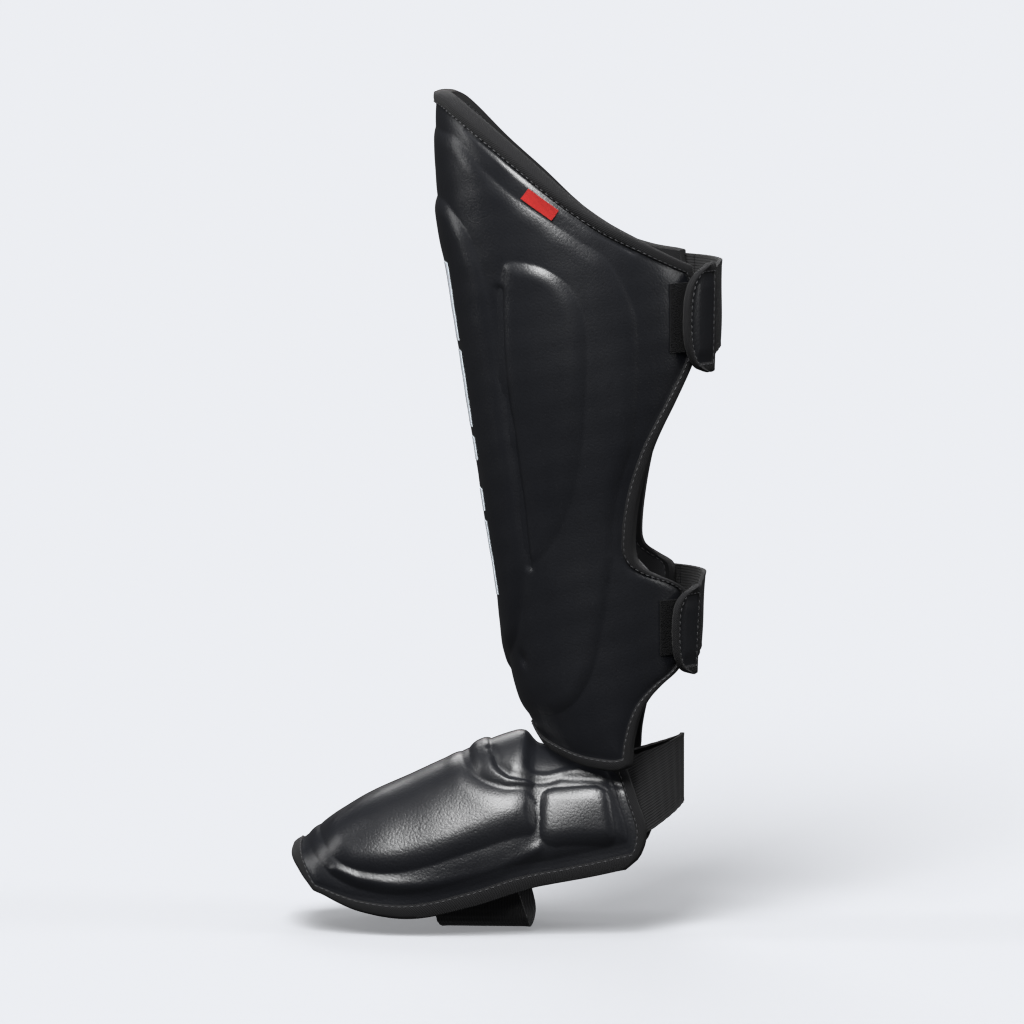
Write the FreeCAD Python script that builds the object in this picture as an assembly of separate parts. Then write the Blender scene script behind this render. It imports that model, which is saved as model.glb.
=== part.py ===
import FreeCAD, Part
import math
import os

# A combat-sports shin and instep guard: a padded shin shell that opens to the rear, two calf straps that
# close it, and a padded foot shell hung from its lower rim.
#
# Row frame, in millimetres: +Z up the leg, -Y the way the toes point, +X the lateral side (the side where
# the calf straps close). The origin is inside the ankle, on the mid-plane, where the leg passes through.
#
# Every layer is moulded or bent to the leg, so each is a closed sheet laid on one of two formulas: the
# oval of the leg at a height, and the arch of the foot at a place along it.

Vector = FreeCAD.Vector
doc = FreeCAD.newDocument("shin_guard")
sheet = doc.addObject("Spreadsheet::Sheet", "Dimensions")
aliases = []


def dim(alias, value, note=""):
    """Puts one driving dimension in the sheet under its alias."""
    aliases.append(alias)
    row = len(aliases)
    sheet.set(f"A{row}", alias.replace("_", " "))
    sheet.set(f"B{row}", repr(float(value)))
    sheet.setAlias(f"B{row}", alias)
    sheet.set(f"C{row}", note)


def size(alias):
    """Reads a dimension back from the sheet."""
    return float(sheet.get(alias))


# ---------------------------------------------------------------- driving dimensions

# The leg's ovals: height, front, rear, half width, and the share of the full wall at that height.
LEG = [
    (-8, -23, 62, 44, 0.42),
    (20, -36.5, 56, 45, 0.46),
    (50, -47.8, 55.5, 46.5, 0.80),
    (125, -60.8, 59.5, 52, 1.0),
    (195, -71.6, 64.5, 59.5, 1.0),
    (265, -82.6, 67.5, 65.5, 1.0),
    (330, -91.6, 67, 67, 0.85),
    (400, -96, 64, 64, 0.50),
]
# The foot's arches: place along Y, top, lower edge, half width, and the share of the full wall.
FOOT = [
    (-180, -49, -62, 27, 0.5),
    (-160, -37, -71, 41, 0.7),
    (-136, -22, -80.5, 48.5, 0.9),
    (-105, -7.5, -84, 52, 1.0),
    (-70, 9, -77, 51, 1.0),
    (-48, 17.2, -70, 49, 0.9),
    (-41, 16.4, -68, 48, 0.87),
    (-35, 11.6, -66, 47, 0.85),
    (-25, 11.4, -64, 46, 0.82),
    (0, 21, -59.5, 43.5, 0.75),
    (34, 32, -52, 40, 0.7),
]
# Where each wing of the shell ends behind the leg, as (height, place along Y).
LATERAL_EDGE = [(4, 20), (20, 22), (38, 28), (50, 38), (58, 47), (66, 51), (85, 52), (104, 52)]
LATERAL_EDGE += [(110, 48), (116, 36), (122, 28), (132, 25), (160, 26), (190, 33), (215, 42.5), (235, 52)]
LATERAL_EDGE += [(250, 58), (266, 60), (282, 59), (292, 56), (400, 54)]
MEDIAL_EDGE = [(4, 20), (20, 22), (38, 27), (50, 34), (58, 40), (66, 43), (85, 43.5), (104, 43)]
MEDIAL_EDGE += [(110, 40), (116, 33), (122, 27), (132, 25), (160, 25.5), (190, 31), (215, 39), (235, 46)]
MEDIAL_EDGE += [(250, 49.5), (266, 50.5), (282, 50), (292, 48), (400, 46)]
# The shell's top edge, which drops from the knee to the ears, and its lower rim, as (along Y, height).
LATERAL_TOP = [(-96, 390.5), (-93, 390), (-87, 388), (-66, 373.5), (-42.5, 357), (-19, 338.5)]
LATERAL_TOP += [(4, 322.5), (27, 309.5), (56, 293), (70, 286)]
MEDIAL_TOP = [(-96, 390.5), (-93, 390), (-87, 387), (-66, 368), (-42.5, 347), (-19, 326)]
MEDIAL_TOP += [(4, 308.5), (27, 298), (50, 293), (70, 290)]
RIM = [(-40, 22), (-37, 20.5), (-31, 13), (-21, 8.6), (-8.6, 4.3), (3, 2.4), (13, 2), (20, 5), (26, 9)]
# The foot shell's ends, as (share of the way from the top to the lower edge, place along Y).
TOE_END = [(0, -177.5), (0.35, -177), (0.6, -175), (0.8, -171.5), (0.92, -168), (1, -163)]
ANKLE_END = [(0, -4), (0.25, 6), (0.5, 17), (0.7, 24), (0.82, 27.5), (0.9, 27), (0.96, 23), (1, 15)]

for name, rows in (("leg", LEG), ("foot", FOOT)):
    for i, row in enumerate(rows):
        for word, value in zip(("place", "front", "rear", "half_width", "share"), row):
            dim(f"{name}_{word}_{i}", value)
for name, rows in (
    ("lateral_edge", LATERAL_EDGE),
    ("medial_edge", MEDIAL_EDGE),
    ("lateral_top", LATERAL_TOP),
    ("medial_top", MEDIAL_TOP),
    ("rim", RIM),
    ("toe_end", TOE_END),
    ("ankle_end", ANKLE_END),
):
    for i, (across, up) in enumerate(rows):
        dim(f"{name}_at_{i}", across)
        dim(f"{name}_is_{i}", up)

dim("shin_wall_front", 17, "cover, two foams and lining over the shin bone")
dim("shin_wall_side", 11)
dim("shin_wall_rear", 6, "at the ends of the wings")
dim("foot_wall", 9)
dim("skin", 1.2, "synthetic leather")
dim("lining", 0.9)
dim("dense_share", 0.68, "share of the wall that the cover and the dense foam take")
dim("pad_rise", 3.4, "how far a moulded pad stands proud")
dim("glue_gap", 0.25, "clearance between glued layers")
dim("print_film", 0.3)
dim("tape", 0.8, "edge binding")
dim("tape_lap", 7.0, "how far the binding laps over each face")
dim("loop_top", 1.0, "the strap's layers, as heights above the cover")
dim("hook_under", 1.3)
dim("hook_top", 2.3)
dim("backing_top", 3.5)
dim("tab_top", 4.7)
dim("elastic_top", 3.1)
dim("stitch", 0.5)
dim("gusset_gap", 1.0)
dim("gusset_thickness", 1.2)
dim("elastic", 1.6)
doc.recompute()

SKIN, LINING, TAPE, LAP, RISE = (size(a) for a in ("skin", "lining", "tape", "tape_lap", "pad_rise"))
LOOP_TOP, HOOK_UNDER, HOOK_TOP = (size(a) for a in ("loop_top", "hook_under", "hook_top"))
BACKING_TOP, TAB_TOP, ELASTIC_TOP = (size(a) for a in ("backing_top", "tab_top", "elastic_top"))
STITCH, GLUE = size("stitch"), size("glue_gap")

# ---------------------------------------------------------------- the two formulas


def along(rows, at, column=1):
    """The smooth value of a column at a place between rows, straight on beyond the first and last."""
    last = len(rows) - 1
    i = max(0, min(last - 1, sum(row[0] <= at for row in rows) - 1))

    def slope(k):
        before, after = rows[max(0, k - 1)], rows[min(last, k + 1)]
        return (after[column] - before[column]) / (after[0] - before[0])

    start, end = rows[i], rows[i + 1]
    span = end[0] - start[0]
    part = (at - start[0]) / span
    if part < 0:
        return start[column] + slope(i) * (at - start[0])
    if part > 1:
        return end[column] + slope(i + 1) * (at - end[0])
    ease = part * part * (3 - 2 * part)
    leave = part * (1 - part) ** 2 * span * slope(i)
    arrive = part * part * (1 - part) * span * slope(i + 1)
    return start[column] + (end[column] - start[column]) * ease + leave - arrive


def smooth(value):
    value = max(0.0, min(1.0, value))
    return value * value * (3 - 2 * value)


def leg_oval(height):
    """(middle along Y, half depth, half width) of the leg's oval, on the shell's outer face."""
    front, rear, half = (along(LEG, height, column) for column in (1, 2, 3))
    return (front + rear) / 2, (rear - front) / 2, half


def on_leg(turn, height, wall_share=0.0, inwards=0.0):
    """A point on the leg's oval: turn is 0 over the shin bone and grows towards +X. It lies inside the
    outer face by a share of the wall and a plain distance."""
    thick = along(LEG, height, 4) * wall_share
    front, side, rear = (size(f"shin_wall_{w}") * thick + inwards for w in ("front", "side", "rear"))
    middle, deep, half = leg_oval(height)
    y = middle + (front - rear) / 2 - (deep - (front + rear) / 2) * math.cos(turn)
    return Vector((half - side) * math.sin(turn), y, height)


def turn_to(y, height):
    """The turn at which the leg's outer oval reaches a place along Y."""
    middle, deep, _ = leg_oval(height)
    return math.acos(max(-1.0, min(1.0, (middle - y) / deep)))


def edge_height(u, rows, edge):
    """The height at which the shell's top edge or rim crosses share u of the way round."""
    height = rows[len(rows) // 2][1]
    for _ in range(12):
        turn = abs(u) * turn_to(along(edge, height), height)
        height = along(rows, on_leg(turn, height).y)
    return height


def shin_place(u, v):
    """(turn, height) at share u from the shin bone to a wing's end, and share v from rim to top edge."""
    edge, top = (LATERAL_EDGE, LATERAL_TOP) if u >= 0 else (MEDIAL_EDGE, MEDIAL_TOP)
    inside = max(-1.0, min(1.0, u))
    low, high = edge_height(inside, RIM, edge), edge_height(inside, top, edge)
    height = low + (high - low) * v
    return u * turn_to(along(edge, height), height), height


def on_shin(u, v, wall_share=0.0, inwards=0.0):
    return on_leg(*shin_place(u, v), wall_share, inwards)


def on_foot(u, along_y, wall_share=0.0, inwards=0.0):
    """A point on the foot's arch: u runs from -1 at the medial lower edge to 1 at the lateral one."""
    top, low, half = (along(FOOT, along_y, column) for column in (1, 2, 3))
    thick = size("foot_wall") * along(FOOT, along_y, 4) * wall_share + inwards
    turn = u * math.pi / 2
    return Vector((half - thick) * math.sin(turn), along_y, low + (top - low - thick) * math.cos(turn))


def foot_along(u, v):
    """The place along Y at share v from the toe end to the ankle end."""
    side = min(1.0, abs(u))
    toe, ankle = along(TOE_END, side), along(ANKLE_END, side)
    return toe + (ankle - toe) * v


# ---------------------------------------------------------------- makers

subparts = {}


def spread(start, end, count):
    return [start + (end - start) * i / (count - 1) for i in range(count)]


def closed_sheet(outer, inner, us, vs):
    """The solid between two smooth faces: outer and inner each give a point for a pair from us and vs."""
    faces, rims = [], []
    for place in (outer, inner):
        surface = Part.BSplineSurface()
        surface.interpolate([[place(u, v) for v in vs] for u in us])
        u0, u1, v0, v1 = surface.bounds()
        rims.append([surface.uIso(u0), surface.uIso(u1), surface.vIso(v0), surface.vIso(v1)])
        faces.append(surface.toShape())
    for one, two in zip(*rims):
        faces.append(Part.makeRuledSurface(one.toShape(), two.toShape()))
    shell = Part.Shell(faces)
    shell.sewShape()
    solid = Part.Solid(shell)
    if solid.Volume < 0:
        solid.reverse()
    return solid


def subpart(label, solids):
    """Adds one physical piece of the guard, made of one or more closed solids."""
    piece = doc.addObject("Part::Feature", label)
    piece.Label = label
    piece.Shape = solids[0] if len(solids) == 1 else Part.makeCompound(solids)
    subparts[label] = piece


def bind(outer, inner, lap_u, lap_v, edges):
    """Binding tape folded round the edges of a wall. outer and inner take (u, v, lift); lap_u and lap_v
    give the tape's lap as shares of u and v; edges lists the bound ones as (axis, low or high end)."""
    solids = []
    for axis, end, other_low, other_high in edges:
        sign = 1 if end > 0.5 else -1
        stations = spread(other_low, other_high, 31)

        def across(share, station):
            """share 0 is the tape's inner border, 1 the wall's edge; beyond 1 is past the edge."""
            width = (lap_u if axis == "u" else lap_v)(station)
            at = end - sign * width * (1 - share)
            return (at, station) if axis == "u" else (station, at)

        past = 1 + (TAPE + 0.2) / LAP
        for top, bottom, low, high in (
            (lambda u, v: outer(u, v, TAPE + 0.1), lambda u, v: outer(u, v, 0.1), 0, past),
            (lambda u, v: outer(u, v, 0.1), lambda u, v: inner(u, v, 0.1), 1 + 0.2 / LAP, past),
            (lambda u, v: inner(u, v, 0.1), lambda u, v: inner(u, v, TAPE + 0.1), 0, past),
        ):
            solids.append(
                closed_sheet(
                    lambda t, w, top=top: top(*across(w, t)),
                    lambda t, w, bottom=bottom: bottom(*across(w, t)),
                    stations,
                    spread(low, high, 3),
                )
            )
    return solids


# ---------------------------------------------------------------- shin shell

# Heights and rear borders of the moulded pads; each side pad also has a front border.
CENTRE_PAD = {"low": 60, "high": 328, "rear": [(60, -49), (100, -47), (150, -53), (230, -62), (330, -74)]}
SIDE_PAD = {
    "low": 132,
    "high": 290,
    "front": [(132, -36), (160, -40), (195, -45), (240, -50), (290, -54)],
    "rear": [(132, -24), (160, -10), (240, -4), (270, -7), (290, -18)],
}
BORDER = 7.0


def shin_relief(turn, height):
    """How far the moulded pads lift the cover here."""
    y = on_leg(turn, height).y
    lift = 0.0
    for pad in (CENTRE_PAD, SIDE_PAD):
        here = smooth((height - pad["low"]) / BORDER) * smooth((pad["high"] - height) / BORDER)
        here *= smooth((along(pad["rear"], height) - y) / BORDER)
        if "front" in pad:
            here *= smooth((y - along(pad["front"], height)) / BORDER)
        lift = max(lift, here)
    return RISE * lift


def shin_layer(wall_share, inwards, lifted=False):
    """The face of a layer over the whole shell, as a function of (u, v)."""

    def place(u, v):
        turn, height = shin_place(u, v)
        lift = shin_relief(turn, height) if lifted else 0.0
        return on_leg(turn, height, wall_share, inwards - lift)

    return place


DENSE = size("dense_share")
fine = spread(-1, 1, 41), spread(0, 1, 49)
plain = spread(-1, 1, 25), spread(0, 1, 31)
subpart("shin_cover", [closed_sheet(shin_layer(0, 0, True), shin_layer(0, SKIN, True), *fine)])
subpart("shin_dense_foam", [closed_sheet(shin_layer(0, SKIN + 2 * GLUE), shin_layer(DENSE, -GLUE), *plain)])
subpart("shin_soft_foam", [closed_sheet(shin_layer(DENSE, 0), shin_layer(1, -LINING - GLUE), *plain)])
subpart("shin_lining", [closed_sheet(shin_layer(1, -LINING), shin_layer(1, 0), *plain)])


def pad_foam(label, pad, side):
    """The foam block under a moulded pad. side is 0 for the centre pad, 1 lateral and -1 medial."""
    margin = BORDER * 0.45

    def place(u, v, lifted):
        height = pad["low"] + margin + (pad["high"] - pad["low"] - 2 * margin) * v
        rear = turn_to(along(pad["rear"], height) - margin, height)
        front = turn_to(along(pad["front"], height) + margin, height) if side else -rear
        turn = front + (rear - front) * u
        turn = turn * side if side else turn
        lift = shin_relief(turn, height) - GLUE if lifted else -GLUE
        return on_leg(turn, height, 0, SKIN - lift)

    block = closed_sheet(
        lambda u, v: place(u, v, True), lambda u, v: place(u, v, False), spread(0, 1, 17), spread(0, 1, 25)
    )
    subpart(label, [block])


pad_foam("centre_pad", CENTRE_PAD, 0)
pad_foam("lateral_side_pad", SIDE_PAD, 1)
pad_foam("medial_side_pad", SIDE_PAD, -1)


def shin_lap_v(u):
    edge, top = (LATERAL_EDGE, LATERAL_TOP) if u >= 0 else (MEDIAL_EDGE, MEDIAL_TOP)
    inside = max(-1.0, min(1.0, u))
    return LAP / (edge_height(inside, top, edge) - edge_height(inside, RIM, edge))


def shin_lap_u(side):
    """The lap as a share of the way round to one wing's end, measured on the shell there."""

    def lap(v):
        near, end = on_shin(side * 0.9, v), on_shin(side, v)
        return LAP * 0.1 / (near - end).Length

    return lap


V_ENDS = 0.03, 0.975
shin_outer = lambda u, v, lift: on_shin(u, v, 0, -lift)
shin_inner = lambda u, v, lift: on_shin(u, v, 1, lift)
binding = bind(shin_outer, shin_inner, None, shin_lap_v, [("v", 0, -1, 1), ("v", 1, -1, 1)])
for side in (-1, 1):
    binding += bind(shin_outer, shin_inner, shin_lap_u(side), None, [("u", side, *V_ENDS)])
subpart("shin_edge_binding", binding)

# Plain bars printed down the shin bone, as (lower end, upper end).
STRIPES = [(100, 143), (149, 162), (178.6, 192), (198, 242), (248, 293)]
STRIPE_TURN = 0.27
film = size("print_film")
bars = []
for low, high in STRIPES:
    bars.append(
        closed_sheet(
            lambda t, z: on_leg(t, z, 0, -shin_relief(t, z) - 0.06 - film),
            lambda t, z: on_leg(t, z, 0, -shin_relief(t, z) - 0.06),
            spread(-STRIPE_TURN, STRIPE_TURN, 7),
            spread(low, high, 7),
        )
    )
subpart("spine_stripes", bars)


def leg_patch(front, rear, low, high, under, over, side=1, lean=0.0, count=9):
    """A flat sheet laid on the cover between two places along Y and two heights. lean slides its top."""

    def place(u, v, rise):
        height = low + (high - low) * v
        y = front + (rear - front) * u + lean * v
        return on_leg(side * turn_to(y, height), height, 0, -rise)

    return closed_sheet(
        lambda u, v: place(u, v, over), lambda u, v: place(u, v, under), spread(0, 1, count), spread(0, 1, count)
    )


def tag_point(u, v, rise):
    """The woven tag lies along the slope of the top edge."""
    y = -40.5 + 17.5 * u + 4 * v
    height = 333.5 - 12.3 * u + 5.8 * v
    return on_leg(turn_to(y, height), height, 0, -rise)


tag = closed_sheet(
    lambda u, v: tag_point(u, v, 0.75), lambda u, v: tag_point(u, v, 0.15), spread(0, 1, 5), spread(0, 1, 5)
)
subpart("edge_tag", [tag])

# ---------------------------------------------------------------- calf straps


def calf_strap(name, free_end, band, seam, sewn, wing_end, loop):
    """One strap. free_end gives where the tab's free end lies at each height, band is the elastic's two
    heights, seam where the tab joins it behind the calf, sewn where its root starts on the medial wing."""
    low, high = free_end[0][0], free_end[-1][0]
    band_low, band_high = band

    def tab_place(u, v, rise):
        height = low + (high - low) * v
        start, end = turn_to(along(free_end, height), height), math.pi - seam
        return on_leg(start + (end - start) * u, height, 0, -rise)

    def tab_sheet(under, over, us=(0, 1), vs=(0, 1)):
        return closed_sheet(
            lambda u, v: tab_place(u, v, over), lambda u, v: tab_place(u, v, under), spread(*us, 9), spread(*vs, 17)
        )

    subpart(f"{name}_tab_face", [tab_sheet(BACKING_TOP, TAB_TOP)])
    subpart(f"{name}_tab_backing", [tab_sheet(HOOK_TOP, BACKING_TOP)])
    subpart(f"{name}_hook_patch", [tab_sheet(HOOK_UNDER, HOOK_TOP, (0.22, 0.9), (0.16, 0.84))])
    length = (tab_place(0, 0.5, 0) - tab_place(1, 0.5, 0)).Length
    tape = bind(
        lambda u, v, lift: tab_place(u, v, TAB_TOP + lift),
        lambda u, v, lift: tab_place(u, v, HOOK_TOP - lift),
        lambda v: LAP * 0.8 / length,
        lambda u: LAP * 0.8 / (high - low),
        [("v", 0, 0, 1), ("v", 1, 0, 1), ("u", 0, 0.12, 0.88)],
    )
    subpart(f"{name}_tab_binding", tape)

    def band_place(u, v, rise):
        height = band_low + (band_high - band_low) * v
        start, end = -turn_to(wing_end + 3.2, height), -math.pi - seam + 0.005
        return on_leg(start + (end - start) * u, height, 0, -rise)

    elastic = closed_sheet(
        lambda u, v: band_place(u, v, ELASTIC_TOP),
        lambda u, v: band_place(u, v, HOOK_UNDER + 0.2),
        spread(0, 1, 17),
        spread(0, 1, 7),
    )
    subpart(f"{name}_elastic", [elastic])
    root = leg_patch(sewn, wing_end + 1, band_low, band_high, TAPE + GLUE, ELASTIC_TOP, -1)
    subpart(f"{name}_root", [root])
    near, far = sewn + 3, sewn + 13
    box = [
        leg_patch(near, far, band_low + 4, band_low + 6, ELASTIC_TOP, ELASTIC_TOP + STITCH, -1, count=4),
        leg_patch(near, far, band_high - 6, band_high - 4, ELASTIC_TOP, ELASTIC_TOP + STITCH, -1, count=4),
        leg_patch(near, near + 2, band_low + 6, band_high - 6, ELASTIC_TOP, ELASTIC_TOP + STITCH, -1, count=4),
        leg_patch(far - 2, far, band_low + 6, band_high - 6, ELASTIC_TOP, ELASTIC_TOP + STITCH, -1, count=4),
    ]
    subpart(f"{name}_root_stitching", box)
    subpart(f"{name}_loop_patch", [leg_patch(*loop, 0.1, LOOP_TOP)])


calf_strap(
    "upper",
    free_end=[(232, 59), (235, 54.5), (240, 51.5), (250, 49), (265, 48.5), (280, 50), (288, 53.5), (294, 60)],
    band=(240, 290),
    seam=0.32,
    sewn=28,
    wing_end=51,
    loop=(43.5, 54, 244, 284),
)
calf_strap(
    "lower",
    free_end=[(56, 51), (58.5, 47), (62, 44.5), (70, 42.5), (85, 42), (97, 43.5), (103, 47), (107, 53)],
    band=(60, 104),
    seam=0.32,
    sewn=20,
    wing_end=43.5,
    loop=(37.5, 47, 68, 100),
)

# ---------------------------------------------------------------- ankle gusset

GAP, THICK = size("gusset_gap"), size("gusset_thickness")
GUSSET = {"low": 20, "high": 46, "turn": 1.5}
gusset = closed_sheet(
    lambda t, z: on_leg(t, z, 1, GAP),
    lambda t, z: on_leg(t, z, 1, GAP + THICK),
    spread(-GUSSET["turn"], GUSSET["turn"], 17),
    spread(GUSSET["low"], GUSSET["high"], 5),
)
subpart("ankle_gusset", [gusset])

# ---------------------------------------------------------------- foot shell

# Ends of the moulded pads at the top of the foot, and how far down its sides they go. The ends of the
# first two slant back by SLANT on the way down.
TOE_PAD = {"front": -161, "rear": -81, "low": 0.78}
INSTEP_PAD = {"front": -78, "rear": -63, "low": 0.48}
ANKLE_PAD = {"front": -31, "rear": 10, "high": 0.52, "low": 0.86}
SLANT = 44.0


def foot_relief(u, y):
    """How far the moulded pads lift the foot's cover here."""
    side = abs(u)
    lift = 0.0
    for pad in (TOE_PAD, INSTEP_PAD, ANKLE_PAD):
        slant = SLANT * smooth(side / 0.6) if pad is not ANKLE_PAD else 0
        here = smooth((y - pad["front"]) / BORDER) * smooth((pad["rear"] + slant - y) / BORDER)
        if pad is INSTEP_PAD:
            here = smooth((y - pad["front"] - slant) / BORDER) * smooth((pad["rear"] + slant - y) / BORDER)
        here *= smooth((pad["low"] - side) / 0.09)
        if "high" in pad:
            here *= smooth((side - pad["high"]) / 0.09)
        lift = max(lift, here)
    to_edge = min((1 - side) * 78, y - along(TOE_END, min(1, side)), along(ANKLE_END, min(1, side)) - y)
    return RISE * lift * smooth((to_edge - LAP - 0.5) / 3)


def foot_layer(wall_share, inwards, lifted=False):
    def place(u, v):
        y = foot_along(u, v)
        lift = foot_relief(u, y) if lifted else 0.0
        return on_foot(u, y, wall_share, inwards - lift)

    return place


subpart("foot_cover", [closed_sheet(foot_layer(0, 0, True), foot_layer(0, SKIN, True), *fine)])
subpart("foot_foam", [closed_sheet(foot_layer(0, SKIN + 2 * GLUE), foot_layer(1, -LINING - GLUE), *plain)])
subpart("foot_lining", [closed_sheet(foot_layer(1, -LINING), foot_layer(1, 0), *plain)])


def foot_pad_foam(label, pad, side):
    margin = BORDER * 0.45

    def place(s, w, lifted):
        if side:
            u = side * (pad["high"] + 0.04 + (pad["low"] - pad["high"] - 0.08) * s)
            slant_front = slant_rear = 0
        else:
            u = (pad["low"] - 0.04) * (2 * s - 1)
            slant_rear = SLANT * smooth(abs(u) / 0.6)
            slant_front = slant_rear if pad is INSTEP_PAD else 0
        front, rear = pad["front"] + margin + slant_front, pad["rear"] - margin + slant_rear
        y = front + (rear - front) * w
        lift = max(0.1, foot_relief(u, y)) - GLUE if lifted else -GLUE
        return on_foot(u, y, 0, SKIN - lift)

    block = closed_sheet(
        lambda u, v: place(u, v, True), lambda u, v: place(u, v, False), spread(0, 1, 21), spread(0, 1, 17)
    )
    subpart(label, [block])


foot_pad_foam("toe_pad", TOE_PAD, 0)
foot_pad_foam("instep_pad", INSTEP_PAD, 0)
foot_pad_foam("lateral_ankle_pad", ANKLE_PAD, 1)
foot_pad_foam("medial_ankle_pad", ANKLE_PAD, -1)


def foot_lap_v(u):
    side = min(1.0, abs(u))
    return LAP / (along(ANKLE_END, side) - along(TOE_END, side))


def foot_lap_u(v):
    y = foot_along(1, v)
    return LAP / ((on_foot(0.95, y) - on_foot(1, y)).Length / 0.05)


foot_outer = lambda u, v, lift: on_foot(u, foot_along(u, v), 0, -lift)
foot_inner = lambda u, v, lift: on_foot(u, foot_along(u, v), 1, lift)
foot_binding = bind(foot_outer, foot_inner, None, foot_lap_v, [("v", 0, -1, 1), ("v", 1, -1, 1)])
foot_binding += bind(foot_outer, foot_inner, foot_lap_u, None, [("u", -1, 0.04, 0.96), ("u", 1, 0.04, 0.96)])
subpart("foot_edge_binding", foot_binding)

# ---------------------------------------------------------------- foot elastics

ELASTIC = size("elastic")
# Half of the sole band's path from the middle outwards, as (share of the half path, X, Z), and its ends.
SOLE_PATH = [(0, 0, -94), (0.3, 16, -93.3), (0.55, 29, -90), (0.8, 36.5, -81), (1, 38.4, -69)]
SOLE_FRONT, SOLE_REAR = [(-95, -88.5), (-87, -92), (-64, -92)], [(-95, -38.5), (-88, -39), (-64, -46)]
# The heel band folds at the back. From there to its sewn ends, as shares: (of the path, across, forwards).
HEEL_PATH = [(0, 0, 0), (0.12, 0.15, 0.025), (0.35, 0.45, 0.18), (0.7, 0.84, 0.56), (1, 1, 1)]
HEEL_FOLD = {"y": 49.5, "low": -21.0, "high": 18.6}


def path_point(path, u, inwards):
    """A point at share u of a band's path, -1 to 1, moved inwards across the band."""
    side = abs(u)
    here = Vector(along(path, side, 1), along(path, side, 2), 0)
    ahead = Vector(along(path, min(1, side + 0.02), 1), along(path, min(1, side + 0.02), 2), 0)
    behind = Vector(along(path, max(0, side - 0.02), 1), along(path, max(0, side - 0.02), 2), 0)
    way = (ahead - behind).normalize()
    outward = Vector(way.y, -way.x, 0)
    if side < 1e-6:
        outward = Vector(0, -1, 0)
    here -= outward * inwards
    return math.copysign(here.x, u), here.y


def heel_middle(side, v):
    """The heel band's outer face on the lateral side: its sewn end lies on the foot shell's lining."""
    end = on_foot(0.9 - 0.62 * v, 15 - 19 * v, 1, 0.4)
    across, forwards = along(HEEL_PATH, side, 1), along(HEEL_PATH, side, 2)
    fold = HEEL_FOLD["low"] + (HEEL_FOLD["high"] - HEEL_FOLD["low"]) * v
    y = HEEL_FOLD["y"] + (end.y - HEEL_FOLD["y"]) * forwards
    return Vector(end.x * across, y, fold + (end.z - fold) * max(0.0, forwards) ** 0.8)


def heel_point(u, v, inwards):
    side = max(0.004, abs(u))
    here = heel_middle(side, v)
    way = heel_middle(min(1, side + 0.02), v) - heel_middle(max(0.004, side - 0.02), v)
    up = heel_middle(side, min(1, v + 0.03)) - heel_middle(side, max(0, v - 0.03))
    here += way.cross(up).normalize() * inwards
    return Vector(0 if abs(u) < 0.004 else math.copysign(here.x, u), here.y, here.z)


def sole_point(u, v, inwards):
    x, z = path_point(SOLE_PATH, u, inwards)
    front, rear = along(SOLE_FRONT, z), along(SOLE_REAR, z)
    return Vector(x, front + (rear - front) * v, z)


for label, point in (("heel_elastic", heel_point), ("sole_elastic", sole_point)):
    band = closed_sheet(
        lambda u, v: point(u, v, 0), lambda u, v: point(u, v, ELASTIC), spread(-1, 1, 33), spread(0, 1, 7)
    )
    subpart(label, [band])

# ---------------------------------------------------------------- check and write

doc.recompute()
os.makedirs("parts", exist_ok=True)
for old in os.listdir("parts"):
    if old.endswith(".step"):
        os.remove(os.path.join("parts", old))
for label, piece in subparts.items():
    shape = piece.Shape
    if {"Invalid", "Error"} & set(piece.State) or shape.isNull() or not shape.isValid():
        raise SystemExit(f"{label} did not build")
    box = shape.BoundBox
    shape.exportStep(os.path.join("parts", f"{label}.step"))
    print(
        f"{label:26s} {len(shape.Solids):2d} solids {shape.Volume / 1000:7.2f} cm3 "
        f"x {box.XMin:.1f} {box.XMax:.1f} y {box.YMin:.1f} {box.YMax:.1f} z {box.ZMin:.1f} {box.ZMax:.1f}"
    )
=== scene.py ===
import math

import bpy
import numpy as np
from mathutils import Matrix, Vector


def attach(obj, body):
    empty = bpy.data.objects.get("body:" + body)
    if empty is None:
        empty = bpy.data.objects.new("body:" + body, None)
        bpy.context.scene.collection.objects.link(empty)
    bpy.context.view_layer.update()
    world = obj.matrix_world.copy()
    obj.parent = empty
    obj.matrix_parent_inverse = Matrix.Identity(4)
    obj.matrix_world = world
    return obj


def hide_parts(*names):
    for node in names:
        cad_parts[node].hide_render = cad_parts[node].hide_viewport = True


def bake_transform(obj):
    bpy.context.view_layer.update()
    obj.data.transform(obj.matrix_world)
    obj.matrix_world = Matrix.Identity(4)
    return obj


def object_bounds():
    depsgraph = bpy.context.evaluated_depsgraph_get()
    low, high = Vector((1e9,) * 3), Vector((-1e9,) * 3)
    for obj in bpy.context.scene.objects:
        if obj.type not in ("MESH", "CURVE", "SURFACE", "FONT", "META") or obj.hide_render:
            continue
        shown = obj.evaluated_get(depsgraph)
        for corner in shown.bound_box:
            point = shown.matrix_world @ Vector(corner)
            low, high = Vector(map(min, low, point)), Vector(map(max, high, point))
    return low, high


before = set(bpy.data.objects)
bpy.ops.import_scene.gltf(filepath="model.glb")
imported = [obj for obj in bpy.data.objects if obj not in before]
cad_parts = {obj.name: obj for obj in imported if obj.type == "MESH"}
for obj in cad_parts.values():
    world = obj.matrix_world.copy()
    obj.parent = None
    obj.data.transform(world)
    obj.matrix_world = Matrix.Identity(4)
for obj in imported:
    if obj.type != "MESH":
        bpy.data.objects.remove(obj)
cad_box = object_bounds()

# ---------------------------------------------------------------- studio
# A plain pale floor under a pale sky, one broad soft light overhead and two upright ones, and a long lens
# from the guard's lateral side, a little above level.

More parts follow.
